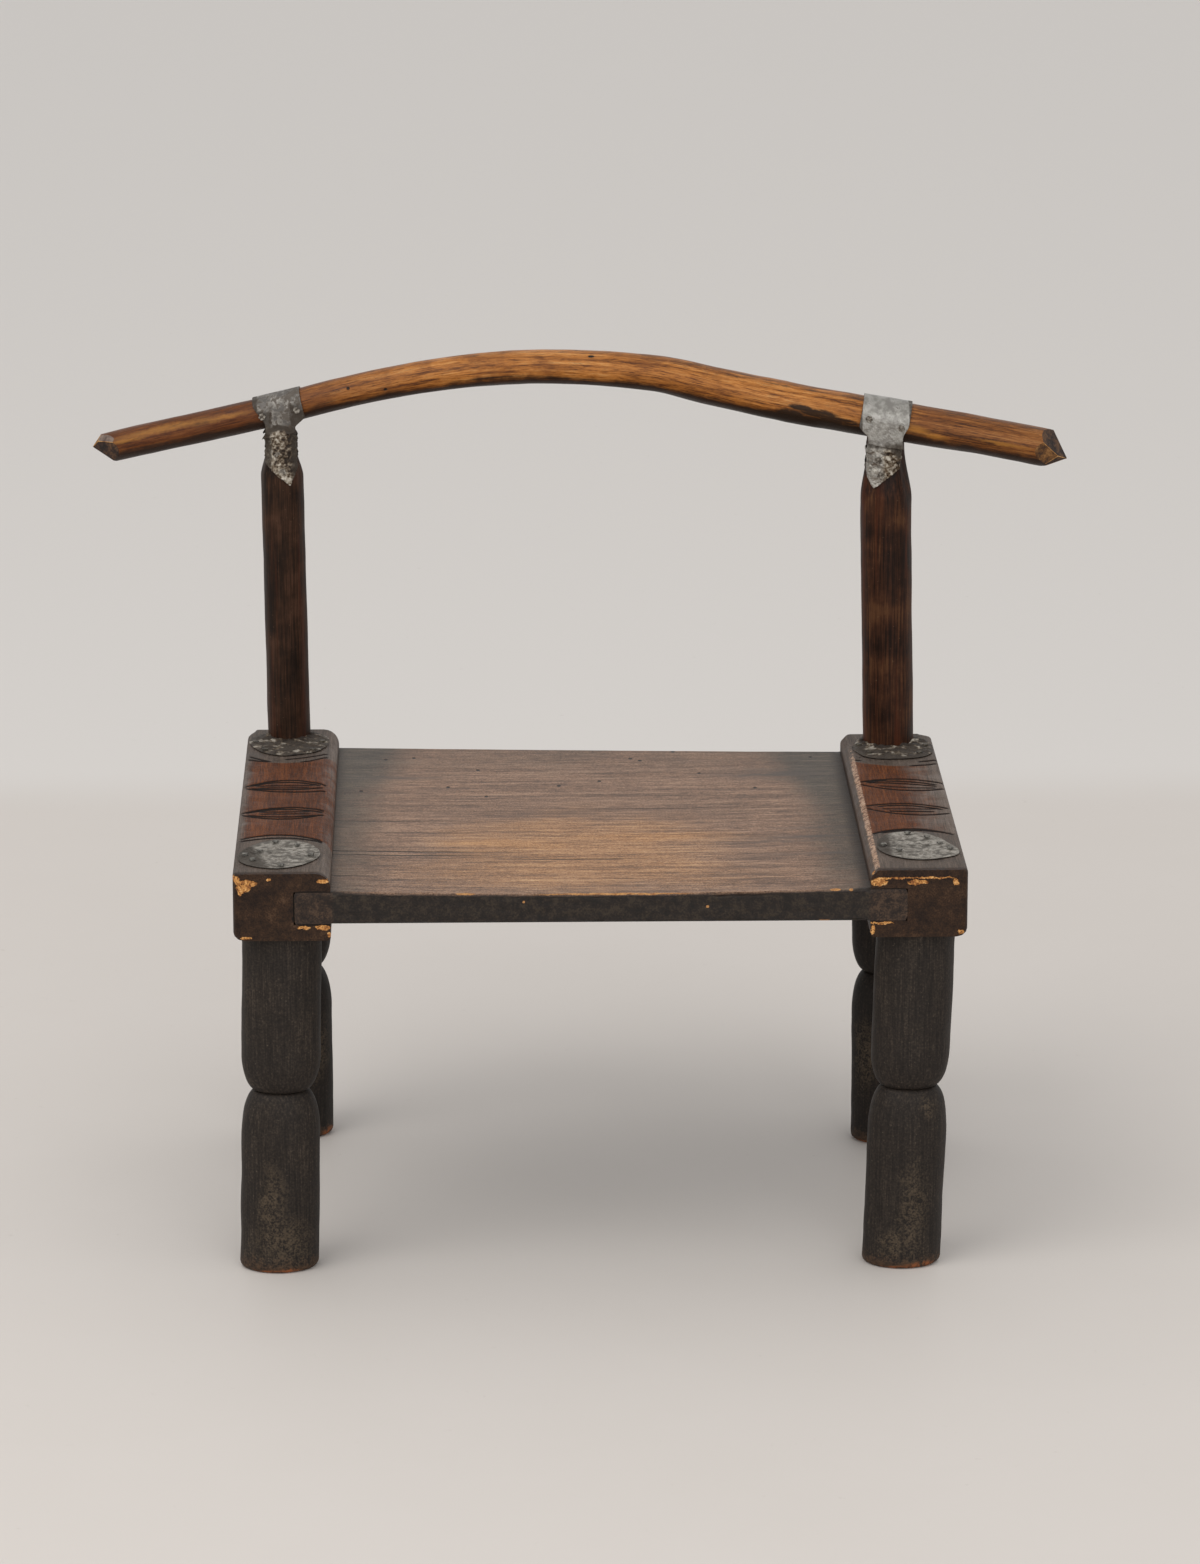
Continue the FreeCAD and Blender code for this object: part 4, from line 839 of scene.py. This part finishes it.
def carved_leg(end, side, finish):
    """A leg of two oval blocks, shaved by hand, with its square tenon above."""
    (top_x, y), lean = LEGS[end, side]
    heights = [0.0, 0.5, 1.2, 2.2, 3.5, 5.0, 7.0, 10.0]
    while heights[-1] < RAIL_BOTTOM - 2:
        after = heights[-1] + 0.45 + 2.0 * min(1.0, abs(heights[-1] + 1.0 - WAIST) / CLOSES_BELOW)
        heights.append(WAIST if heights[-1] < WAIST < after + 0.2 else after)
    heights.append(RAIL_BOTTOM + 0.1)
    bm = tube(LEG_SIDES, len(heights))
    close_ends(bm)
    for point in bm.verts:
        c, s = point.co.x, point.co.y
        z = heights[round(point.co.z)]
        facets = math.cos(9 * math.atan2(s, c) + 2 * noise.noise(Vector((z / 60, 0, top_x))))
        swell = rough((c * 12, s * 12 + top_x, z), 24, 0.4, 2) + 0.1 * facets
        swell += rough((c * 40, s * 40 + top_x, z / 3), 6, 0.06)
        near_waist = min(1.0, abs(z - WAIST) / 8.0)
        radius = max(leg_half_width(z) - 0.5 + min(0.45, swell * near_waist), 1.0)
        x = top_x + lean * (1 - z / RAIL_BOTTOM)
        point.co = (x + radius * c, y + 0.8 * radius * s, z)
    block = bmesh.ops.create_cube(bm, size=1.0)["verts"]
    tenon_y = {"front": FRONT + 33.0, "rear": REAR[side] - 55.0}[end]
    tenon_middle = RAIL_BOTTOM + 0.05 + TENON_LENGTH / 2
    bmesh.ops.scale(bm, vec=(TENON_SIDE, TENON_SIDE, TENON_LENGTH), verts=block)
    bmesh.ops.translate(bm, vec=(TENON_X[side], tenon_y, tenon_middle), verts=block)
    finish_piece(f"carved_leg_{end}_{side}", bm, [finish], "leg_wood", f"{end}_leg_{side}", sharp=45)


# Rows along the branch: X, height of its middle, radius.
BRANCH_ROWS = (
    (-309.5, 441.2, 9.3), (-280.0, 448.6, 9.5), (-244.0, 457.0, 9.75), (-215.0, 463.7, 9.9),
    (-190.4, 469.5, 9.95), (-152.1, 480.0, 9.9), (-94.6, 492.0, 10.25), (-44.7, 497.6, 10.65),
    (1.2, 498.1, 10.95), (47.2, 494.6, 11.6), (85.6, 486.4, 12.2), (123.9, 478.3, 12.55),
    (158.4, 472.1, 12.6), (192.9, 466.2, 12.6), (222.0, 461.6, 12.5), (251.1, 456.9, 12.25),
    (309.2, 445.8, 11.85),
)  # fmt: skip
BRANCH_LEFT_Y = 160.9
BRANCH_LEAN = 0.061
# Chopped facets of each tip: turn from straight up towards the front and slope to the branch, both
# in degrees, how far back from the tip and out from it the cut passes, and the number of its finish.
TIP_CUTS = {
    -1: (
        (0, 42, 0, 0, 1), (180, 44, 0, 0, 2), (268, 46, 0, 0, 1), (45, 44, 0, 0, 1), (98, 29.5, 0, 0, 2),
        (48.7, 15, 11.3, 6.3, 3),
    ),
    1: (
        (180, 25, 0, 0, 2), (215, 40, 0, 0, 2), (300, 45, 0, 0, 1), (38, 39, 0, 0, 2), (122, 35, 0, 0, 2),
        (95, 20, 16, 9.5, 1),
    ),
}  # fmt: skip
TIP_RISE = {-1: 3.0, 1: -4.2}
TIP_X = {-1: -309.5, 1: 309.2}


def branch_middle(x):
    """Middle and radius of the branch at X. It lies on a line that leans forwards to the right."""
    height, radius = through(BRANCH_ROWS, x)
    return Vector((x, BRANCH_LEFT_Y - (x + 309.1) * BRANCH_LEAN, height)), radius


def branch_frame(x):
    """Directions at a spot of the branch: along it, to its front and up."""
    after, before = branch_middle(min(x + 2, TIP_X[1]))[0], branch_middle(max(x - 2, TIP_X[-1]))[0]
    along = (after - before).normalized()
    front = along.cross(Vector((0, 0, 1))).normalized()
    return along, front, front.cross(along)


def bent_branch(finishes):
    """The back rail: a debarked branch, its girth uneven, its ends chopped to points."""
    bm = tube(POLE_SIDES, BRANCH_STATIONS)
    straight = bm.verts.layers.float_vector.new("straight")
    stations = {}
    for point in bm.verts:
        number = round(point.co.z)
        if number not in stations:
            x = -312.0 + 624.0 * number / (BRANCH_STATIONS - 1)
            inside = min(max(x, TIP_X[-1]), TIP_X[1])
            stations[number] = (x, x - inside, *branch_middle(inside), *branch_frame(inside))
        x, beyond, middle, radius, along, front, up = stations[number]
        c, s = point.co.x, point.co.y
        swell = rough((x / 2.5, c * 9, s * 9), 13, 0.35) + rough((x / 6, c * 30, s * 30), 8, 0.14)
        swell += 1.3 * bump(x, 143, 9) * max(0.0, -s) ** 1.5
        swell += 0.7 * bump(x, 124, 7) * max(0.0, s) ** 2
        swell -= 0.8 * bump(x, 150, 13) * max(0.0, c * 0.8 - s * 0.5) ** 3
        under_strap = max(1 - ease(abs(x - post["seat_x"]), 16, 22) for post in POSTS.values())
        reach = radius + min(0.3, swell) * (1 - under_strap) - 0.05 * under_strap
        point.co = middle + along * beyond + (front * c + up * s) * reach
        point[straight] = (x * MM, c * reach * MM, s * reach * MM)
    close_ends(bm)
    for sign, cuts in TIP_CUTS.items():
        middle, _ = branch_middle(TIP_X[sign])
        along, front, up = branch_frame(TIP_X[sign])
        for turn, slope, back, out, number in cuts:
            turn, slope = math.radians(turn), math.radians(slope)
            outward = up * math.cos(turn) + front * math.sin(turn)
            parts = bmesh.ops.bisect_plane(
                bm, geom=[*bm.verts, *bm.edges, *bm.faces],
                plane_co=middle + up * TIP_RISE[sign] - along * sign * back + outward * out,
                plane_no=(along * sign * math.sin(slope) + outward * math.cos(slope)).normalized(),
                clear_outer=True, clear_inner=False,
            )  # fmt: skip
            rim = [e for e in parts["geom_cut"] if isinstance(e, bmesh.types.BMEdge)]
            for face in bmesh.ops.holes_fill(bm, edges=rim, sides=0)["faces"]:
                face.material_index = number
    ridges = [
        e for e in bm.edges if len(e.link_faces) == 2 and all(f.material_index for f in e.link_faces)
    ]
    worn = bmesh.ops.bevel(
        bm, geom=ridges, offset=0.25, offset_type="OFFSET", segments=1, profile=0.5,
        affect="EDGES", material=-1,
    )  # fmt: skip
    for face in worn["faces"]:
        face.material_index = len(finishes) - 1
    finish_piece("bent_branch", bm, finishes, "branch_wood", "back_rail", sharp=30)


# Heights of the posts: end of their tenons, foot above the collars, and top before they are cut.
POST_TENON_END = 223.9
POST_FOOT = 256.0
POST_TOP = 474.0
POST_TENON_RADIUS = 9.0
# Each post: its foot in plan, X of its seat under the branch, its radius and that of its neck, and
# the heights between which it is pared down.
POSTS = {
    side: {"foot": foot, "seat_x": seat_x, "radius": radius, "neck": neck, "taper": taper}
    for side, foot, seat_x, radius, neck, taper in (
        ("left", (-187.2, 153.7), -190.4, 13.8, 9.45, (426.5, 447.0)),
        ("right", (197.3, 130.3), 192.9, 16.5, 12.1, (416.6, 449.6)),
    )
}


def back_post(side, finish):
    """A shaved pole, leaning a little, pared down to its neck, with its tenon below."""
    post = POSTS[side]
    heights = [POST_TENON_END, POST_FOOT - 0.1, POST_FOOT]
    while heights[-1] < POST_TOP:
        heights.append(heights[-1] + 1.6)
    bm = tube(POLE_SIDES, len(heights))
    close_ends(bm)
    seat_z = branch_middle(post["seat_x"])[0].z
    for point in bm.verts:
        c, s = point.co.x, point.co.y
        number = round(point.co.z)
        z = heights[number]
        share = (z - POST_FOOT) / (seat_z - POST_FOOT)
        x = post["foot"][0] + (post["seat_x"] - post["foot"][0]) * share
        low, high = post["taper"]
        radius = post["radius"] - (post["radius"] - post["neck"]) * ease(z, low, high) ** 0.8
        angle = math.atan2(s, c)
        wander = 1.5 * noise.noise(Vector((z / 80, 4, x)))
        planed = math.cos((7 if side == "right" else 8) * angle + 0.7 + wander)
        pared = ease(z, low - 12, low + 8) if side == "right" else 0.35 * ease(z, low - 8, low + 6)
        swell = planed * (0.08 + 0.5 * pared) + rough((c * 12 + x, s * 12, z / 3), 12, 0.3)
        swell += rough((c * 50 + x, s * 50, z / 8), 6, 0.08)
        radius += min(0.1, swell - 0.3)
        if number < 2:
            x, radius = TENON_X[side], POST_TENON_RADIUS
        middle, girth = branch_middle(x + radius * c)
        y = post["foot"][1] + radius * s
        gap = y - middle.y
        if z > 440:
            ceiling = middle.z - math.sqrt(max(0.0, girth**2 - gap**2)) + 0.3
            z = min(z, max(ceiling, seat_z - 12.0))
        point.co = (x + radius * c, y, z)
    finish_piece(f"shaved_post_{side}", bm, [finish], "post_wood", f"back_post_{side}", sharp=45)


def remeshed(node, voxel):
    """A bmesh in millimetres of a CAD node's solid, rebuilt as an even net of small faces."""
    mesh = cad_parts[node].data.copy()
    loose = bmesh.new()
    loose.from_mesh(mesh)
    bmesh.ops.remove_doubles(loose, verts=loose.verts, dist=0.00001)
    loose.to_mesh(mesh)
    loose.free()
    holder = bpy.data.objects.new("net", mesh)
    scene.collection.objects.link(holder)
    net = holder.modifiers.new("net", "REMESH")
    net.mode = "VOXEL"
    net.voxel_size = voxel * MM
    graph = bpy.context.evaluated_depsgraph_get()
    graph.update()
    even = bpy.data.meshes.new_from_object(holder.evaluated_get(graph))
    bm = bmesh.new()
    bm.from_mesh(even)
    bmesh.ops.scale(bm, vec=(1 / MM, 1 / MM, 1 / MM), verts=bm.verts)
    bpy.data.objects.remove(holder)
    bpy.data.meshes.remove(mesh)
    bpy.data.meshes.remove(even)
    return bm


def branch_strap(side, finish):
    """Sheet metal bent over the branch, crumpled and beaten onto the post below it."""
    left = side == "left"
    seat_x = POSTS[side]["seat_x"]
    foot_x, foot_y = POSTS[side]["foot"]
    bm = remeshed(f"strap_{side}", STRAP_NET)
    bmesh.ops.smooth_vert(
        bm, verts=bm.verts, factor=0.5, use_axis_x=True, use_axis_y=True, use_axis_z=True
    )
    wear = bm.verts.layers.float_vector.new("wear")
    middle, girth = branch_middle(seat_x)
    seed = 31 if left else 77
    waist, spread = (8.8, 0.32) if left else (10.4, 0.08)
    for point in bm.verts:
        x, y, z = point.co
        drop = middle.z - z
        wide = abs(x - seat_x)
        start = -4.0 if left and x < seat_x else 1.5
        if wide > waist and drop > start:
            reach = STRAP_HALF_WIDTH + (waist + 0.5 - STRAP_HALF_WIDTH) * ease(drop, start, 10.0)
            wide = waist + (wide - waist) * (reach - waist) / (STRAP_HALF_WIDTH - waist)
            x = seat_x + math.copysign(wide, x - seat_x)
        below = ease(drop - girth * 0.9, 0, 8)
        axis_x = foot_x + (seat_x - foot_x) * (z - POST_FOOT) / (middle.z - POST_FOOT)
        round_post = Vector((x - axis_x, y - foot_y, 0))
        if drop > 12:
            turn = math.atan2(round_post.x, abs(round_post.y)) * (1 + spread * ease(drop, 12, 19))
            x = axis_x + round_post.length * math.sin(turn)
            y = foot_y + math.copysign(round_post.length, round_post.y) * math.cos(turn)
        round_post.normalize()
        centre, _ = branch_middle(x)
        round_branch = Vector((0, y - centre.y, z - centre.z)).normalized()
        out = (round_branch * (1 - below) + round_post * below).normalized()
        spot = Vector((x + seed, y, z))
        crater = 1 - min(1.0, noise.voronoi(spot / 5.5)[0][0] * 1.7)
        crumple = abs(noise.fractal(spot / 6.0, 1.0, 2.1, 3))
        lump = below * (1.5 * crumple + 0.6 * crater * crater)
        dent = (1 - below) * 0.25 * abs(noise.noise(spot / 9.0))
        over = x - axis_x
        point.co = Vector((x, y, z)) + out * min(1.7, lump + dent)
        point.co.x += math.copysign(rough((seed, y / 30, z / 4.5), 1.0, 0.9) * below, over)
        low_tip = ease(drop, 34, 46)
        if left:
            bright = 0.05 + 0.4 * low_tip - 0.4 * ease(over, 1, 5) * (1 - low_tip)
            bright += 0.4 * bump(over, -2, 4) * bump(drop, 15, 4)
            pitted = ease(drop - girth * 0.8 + 3 * noise.noise(spot / 6.0), 0, 5)
            grimy = max(
                0.25 * ease(over, 1, 6) * below * (1 - low_tip),
                0.8 * bump(drop, 9.6 + 0.05 * over**2, 2.2),
                0.62 * ease(over, 4, 8) * ease(drop, -9, -4),
                0.6 * ease(-over, 3, 7) * ease(drop, -3, 1),
            )
        else:
            smooth = 1 - ease(over + 0.08 * (drop - 40), -5, -1)
            bright = 0.3 * smooth + 0.4 * low_tip + 0.6 * (1 - below)
            pitted = below * (1 - 0.7 * smooth)
            grimy = 0.35 * ease(over, 0, 7) * below + 0.5 * bump(drop, 14.5, 5)
        edge = ease(wide, 13.6, 15.4) * (1 - below) * 0.6
        point[wear] = (pitted, max(edge, grimy), bright)
    finish_piece(f"beaten_strap_{side}", bm, [finish], "strap_metal", f"strap_{side}", sharp=60)


# Outlines of the patches in plan, as they were cut by hand.
PATCH_OUTLINES = {
    "leg_cap_left": (
        (-211.6, -136.0), (-206.0, -150.5), (-196.5, -157.1), (-187.1, -158.8), (-176.0, -154.2),
        (-168.7, -145.9), (-162.6, -131.7), (-164.4, -115.1), (-169.5, -104.6), (-177.2, -98.2),
        (-188.6, -95.6), (-197.9, -101.0), (-205.4, -110.8), (-210.0, -121.6),
    ),
    "leg_cap_right": (
        (174.9, -114.0), (175.7, -127.9), (179.8, -136.6), (187.1, -143.9), (197.0, -148.0), (205.5, -147.7),
        (214.2, -143.5), (221.4, -137.9), (223.4, -130.5), (221.0, -118.3), (217.4, -110.2), (213.3, -99.7),
        (207.3, -90.9), (200.2, -86.2), (192.8, -85.6), (185.0, -88.6), (179.9, -95.5), (176.3, -103.6),
    ),
    "post_collar_left": (
        (-212.2, 139.2), (-210.8, 126.6), (-205.9, 114.6), (-197.6, 104.4), (-189.6, 101.2), (-182.7, 103.1),
        (-175.8, 106.6), (-168.9, 111.3), (-164.1, 120.8), (-161.3, 135.2), (-163.0, 148.0), (-170.0, 158.0),
        (-182.0, 164.0), (-194.0, 163.0), (-205.0, 154.0),
    ),
    "post_collar_right": (
        (174.0, 116.2), (176.0, 100.0), (181.3, 89.2), (189.6, 84.8), (199.4, 84.6), (208.4, 85.9),
        (216.8, 89.6), (222.5, 97.2), (224.6, 109.4), (224.0, 122.0), (218.0, 136.0), (208.0, 145.0),
        (196.0, 147.4), (185.0, 143.0), (177.0, 130.0),
    ),
}  # fmt: skip
TACK_SPOTS = {
    "leg_cap_left": (
        (-207.5, -130.2), (-202.6, -141.1), (-198.7, -122.5), (-189.6, -102.7), (-176.4, -109.7),
        (-167.8, -130.8), (-185.2, -153.9),
    ),
    "leg_cap_right": (
        (178.5, -117.0), (194.7, -91.4), (206.0, -100.0), (212.8, -113.8), (187.1, -128.5), (218.2, -125.3),
    ),
    "post_collar_left": ((-208.2, 132.6), (-202.0, 114.0), (-171.3, 113.4), (-165.6, 134.2)),
    "post_collar_right": ((177.8, 117.6), (183.5, 98.1), (215.2, 97.4), (220.4, 116.0)),
}  # fmt: skip


def rail_patch(node, finish):
    """A hand-cut oval of sheet laid over a tenon's end, dented by the hammer round its tacks."""
    outline = PATCH_OUTLINES[node]
    centre = Vector([sum(values) / len(outline) for values in zip(*outline)])
    arms = [(x - centre.x, y - centre.y) for x, y in outline]
    bearings = sorted((math.atan2(y, x), math.hypot(x, y)) for x, y in arms)
    first, last = bearings[0], bearings[-1]
    table = [(last[0] - 2 * math.pi, last[1]), *bearings, (first[0] + 2 * math.pi, first[1])]
    collar = node.startswith("post_collar")
    bm = tube(PATCH_SIDES, PATCH_RINGS)
    top_rim = [e for e in bm.edges if e.is_boundary and e.verts[0].co.z > 0.5]
    bmesh.ops.holes_fill(bm, edges=top_rim, sides=0)
    for point in bm.verts:
        angle = math.atan2(point.co.y, point.co.x)
        reach = (1 - round(point.co.z) / (PATCH_RINGS - 0.5)) * through(table, angle)[0]
        point.co = (centre.x + reach * math.cos(angle), centre.y + reach * math.sin(angle), 0.0)
    bmesh.ops.solidify(bm, geom=list(bm.faces), thickness=PATCH_THICKNESS)
    bmesh.ops.recalc_face_normals(bm, faces=bm.faces)
    levels = [v.co.z for v in bm.verts]
    half_way = (min(levels) + max(levels)) / 2
    wear = bm.verts.layers.float_vector.new("wear")
    post = POSTS["left" if "left" in node else "right"]
    for point in bm.verts:
        x, y, z = point.co
        across, along = x - centre.x, y - centre.y
        rim = through(table, math.atan2(along, across))[0] - math.hypot(across, along)
        spot = Vector((x, y, 0))
        bulge = abs(rough(spot, 11, 0.28))
        for tack in TACK_SPOTS[node]:
            gap = math.dist((x, y), tack)
            bulge -= 0.28 * bump(gap, 0, 3.0) + 0.12 * bump(gap, 4.6, 1.4)
        dirty = (0.55 if across < 14 else 0.15) * (1 - ease(rim, 0.0, 3.0))
        pitted, bright = 0.1, 0.3
        if collar:
            clear = max(0.0, math.dist((x, y), post["foot"]) - post["radius"])
            bulge += 1.3 * bump(clear, 0, 4.0) * abs(rough(spot, 5, 1.0))
            bulge += abs(rough(spot, 8, 1.6)) + 0.9 * abs(noise.noise(Vector((x / 14, y / 6, 8))))
            dirty = 0.3
            pitted = 0.55 + 0.4 * bump(clear, 0, 6.0)
            bright = rough(spot, 7, 2.6) - 0.75
        elif node == "leg_cap_left":
            dirty = max(dirty, 1 - ease(x + 0.25 * (y + 127), -208, -193))
        else:
            dirty = max(dirty, 0.8 * (1 - ease(x, 178, 188)))
        curl = 0.15 * max(0.0, noise.noise(spot / 14.0)) * (1 - ease(rim, 0, 4))
        lift = max(-0.6, bulge * ease(rim, 0.0, 3.0) + curl)
        point.co.z = RAIL_TOP + 0.75 + lift if z > half_way else RAIL_TOP - 0.15
        point[wear] = (pitted, dirty, bright)
    slot = "collar_metal" if collar else "patch_metal"
    finish_piece(f"beaten_{node}", bm, [finish], slot, node, sharp=50)


# Chips and rubbed spots, each as place and reach.
RAIL_CHIPS = {
    "left": (
        ((-205.5, -169, 249.0), (6.4, 6, 2.2)), ((-207.5, -169, 246.5), (4.2, 6, 2.6)),
        ((-209.0, -169, 243.8), (2.0, 6, 2.4)), ((-211.8, -167, 251.5), (2.6, 5, 2.4)),
        ((-192.0, -168, 251.0), (1.4, 5, 0.9)), ((-160.5, -168, 250.2), (4.0, 5, 1.4)),
        ((-171.5, -168.5, 221.3), (4.2, 5, 1.3)), ((-160.0, -168.5, 221.3), (4.5, 5, 1.7)),
        ((-206.0, -168.5, 215.0), (3.6, 5, 0.9)), ((-156.5, -168.5, 217.0), (1.2, 5, 1.6)),
    ),
    "right": (
        ((172.5, -169, 247.6), (5.0, 6, 2.5)), ((196.0, -169, 247.4), (6.5, 6, 1.7)),
        ((182.0, -168, 249.9), (12.0, 5, 0.7)), ((205.0, -168, 250.2), (14.0, 5, 0.5)),
        ((218.5, -168, 247.5), (1.8, 5, 2.4)), ((174.5, -168.5, 221.9), (7.5, 5, 0.8)),
        ((169.0, -168.5, 218.0), (1.2, 5, 3.0)), ((222.0, -168, 216.2), (2.0, 5, 1.6)),
        ((170.5, -165, 252.0), (2.0, 3, 1.4)),
    ),
}  # fmt: skip
BOARD_CHIPS = (
    ((14.0, -169, 240.7), (50.0, 4, 0.6)), ((-75.0, -169, 241.2), (7.0, 4, 0.6)),
    ((146.5, -169, 242.6), (3.6, 4, 0.9)), ((156.0, -169, 242.6), (1.4, 4, 0.9)),
    ((140.0, -169, 223.8), (3.5, 4, 0.7)), ((-40.0, -169, 236.5), (0.8, 3, 0.8)),
    ((70.0, -169, 233.0), (0.9, 3, 0.8)),
)  # fmt: skip
# Leg colours. The rear set is the front one darkened: painted shade where the rear legs stand.
LEG_COLOURS_REAR_PAINTED_SHADE = {
    "front": ("#18130f", "#221c18", "#2d2620", "#3f362e"),
    "rear": ("#140f0b", "#1b1612", "#241d18", "#332a23"),
}
LEG_WEAR = {
    ("front", "left"): (((-193, -163, 42), (7, 14, 24)), ((-186, -163, 20), (16, 16, 14))),
    ("front", "right"): (
        ((196, -163, 36), (8, 14, 28)), ((205, -163, 103), (5, 12, 5)), ((185, -163, 16), (9, 14, 9)),
    ),
    ("rear", "left"): (((-172, 100, 60), (8, 12, 20)),),
    ("rear", "right"): (((182, 80, 60), (6, 10, 20)),),
}  # fmt: skip
LEG_CHIPS = {
    ("front", "left"): (((-190, -161, 0.6), (13, 9, 1.5)), ((-184, -161, 2.0), (5, 6, 1.2))),
    ("front", "right"): (((201, -160, 1.5), (9, 9, 2.6)), ((188, -161, 0.8), (9, 8, 1.2))),
    ("rear", "left"): (((-163, 108, 1.5), (5, 14, 3.4)),),
    ("rear", "right"): (((182, 80, 0.8), (7, 8, 1.2)),),
}

for side in SIDES:
    side_rail(side, carved_rail(side, RAIL_CHIPS[side]))
    for end in ("front", "rear"):
        marks = LEG_COLOURS_REAR_PAINTED_SHADE[end], LEG_WEAR[end, side], LEG_CHIPS[end, side]
        carved_leg(end, side, blackened_leg(f"blackened_leg_{end}_{side}", *marks))
seat_board(rubbed_board(BOARD_CHIPS))
branch_finishes = [
    polished_branch(),
    chopped_end("chopped_end_brown", ("#3a2413", "#66431f", "#8a6136")),
    chopped_end("chopped_end_smoked", ("#1c130e", "#34231a", "#5a3f28")),
    chopped_end("chopped_end_greyed", ("#4c3d36", "#695a52", "#7d6c61")),
    chopped_end("chopped_ridge_rubbed", ("#7a4f28", "#a87a42", "#c49c66")),
]
bent_branch(branch_finishes)
post_finishes = {
    "left": dark_post("oiled_post_wood_left", ("#170e09", "#24170f", "#322015", "#432d21"), 0.3),
    "right": dark_post("oiled_post_wood_right", ("#190d07", "#29170e", "#392114", "#4f331f"), 0.5),
}
strap_finishes = {
    "left": beaten_sheet("beaten_strap_iron_left", ("#5d5955", "#79756f", "#98948e"), 0.5),
    "right": beaten_sheet("beaten_strap_iron_right", ("#87847f", "#95938d", "#a5a29d"), 0.85),
}
cap_finish = beaten_sheet("beaten_cap_iron", ("#524d45", "#807b73", "#a8a39a"), 0.35)
collar_finish = beaten_sheet("beaten_collar_iron", ("#251e18", "#453c32", "#7c6f5e"), 0.25)
nail_finishes = {
    "cap_tacks": nail_iron("flattened_tack_iron", ("#45423d", "#66635d", "#85827a"), 0.35),
    "collar_tacks": nail_iron("grimy_tack_iron", ("#29241d", "#40392f", "#625a4c"), 0.2),
    "strap_nails": nail_iron("rusty_nail_iron", ("#3b342c", "#6d665d", "#9b968d"), 0.4),
}
for side in SIDES:
    back_post(side, post_finishes[side])
    branch_strap(side, strap_finishes[side])
    rail_patch(f"leg_cap_{side}", cap_finish)
    rail_patch(f"post_collar_{side}", collar_finish)
    for kind, finish in nail_finishes.items():
        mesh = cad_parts[f"{kind}_{side}"].data
        mesh.materials.clear()
        mesh.materials.append(finish)

# Studio, in metres: a wide painted floor, lighter beyond the line where the photograph's backdrop
# starts.
FLOOR_REACH = 20.0
bm = bmesh.new()
bmesh.ops.create_grid(bm, x_segments=1, y_segments=1, size=FLOOR_REACH)
mesh = bpy.data.meshes.new("studio_floor")
bm.to_mesh(mesh)
bm.free()
mesh.materials.append(painted_ground("pale_studio_paint", ("#d0cac5", "#cbc5bf", "#d4d0cc")))
floor = bpy.data.objects.new("studio_floor", mesh)
scene.collection.objects.link(floor)

world = bpy.data.worlds.new("studio_air")
world.use_nodes = True
world.node_tree.nodes["Background"].inputs["Color"].default_value = linear("#f3f2f1")
world.node_tree.nodes["Background"].inputs["Strength"].default_value = 0.93
scene.world = world


def soft_lamp(name, place, target, size, power, shade):
    """A round softbox of a size in metres and a power in watts, turned to its target."""
    lamp = bpy.data.lights.new(name, "AREA")
    lamp.shape = "DISK"
    lamp.size = size
    lamp.energy = power
    lamp.color = linear(shade)[:3]
    holder = bpy.data.objects.new(name, lamp)
    aim = Vector(target) - Vector(place)
    holder.rotation_euler = aim.to_track_quat("-Z", "Y").to_euler()
    holder.location = place
    scene.collection.objects.link(holder)


soft_lamp("high_softbox", (-1.7, -1.5, 2.7), (0, 0.1, 0.25), 2.4, 34, "#fffdfa")
soft_lamp("front_fill", (0.8, -3.1, 1.4), (0, 0, 0.2), 2.2, 20, "#fcfdff")

# The camera as fitted to the photograph: place in metres, and tilt down and turn in radians.
CAMERA_PLACE = (-0.0801, -3.8978, 1.3286)
CAMERA_TILT = 0.26644
CAMERA_TURN = -0.022965
lens = bpy.data.cameras.new("photo_camera")
lens.lens = 149.6
lens.sensor_width = 36.0
lens.clip_end = 40.0
camera = bpy.data.objects.new("photo_camera", lens)
camera.location = CAMERA_PLACE
camera.rotation_euler = (math.pi / 2 - CAMERA_TILT, 0.0, CAMERA_TURN)
scene.collection.objects.link(camera)
scene.camera = camera
scene.view_settings.view_transform = "Standard"
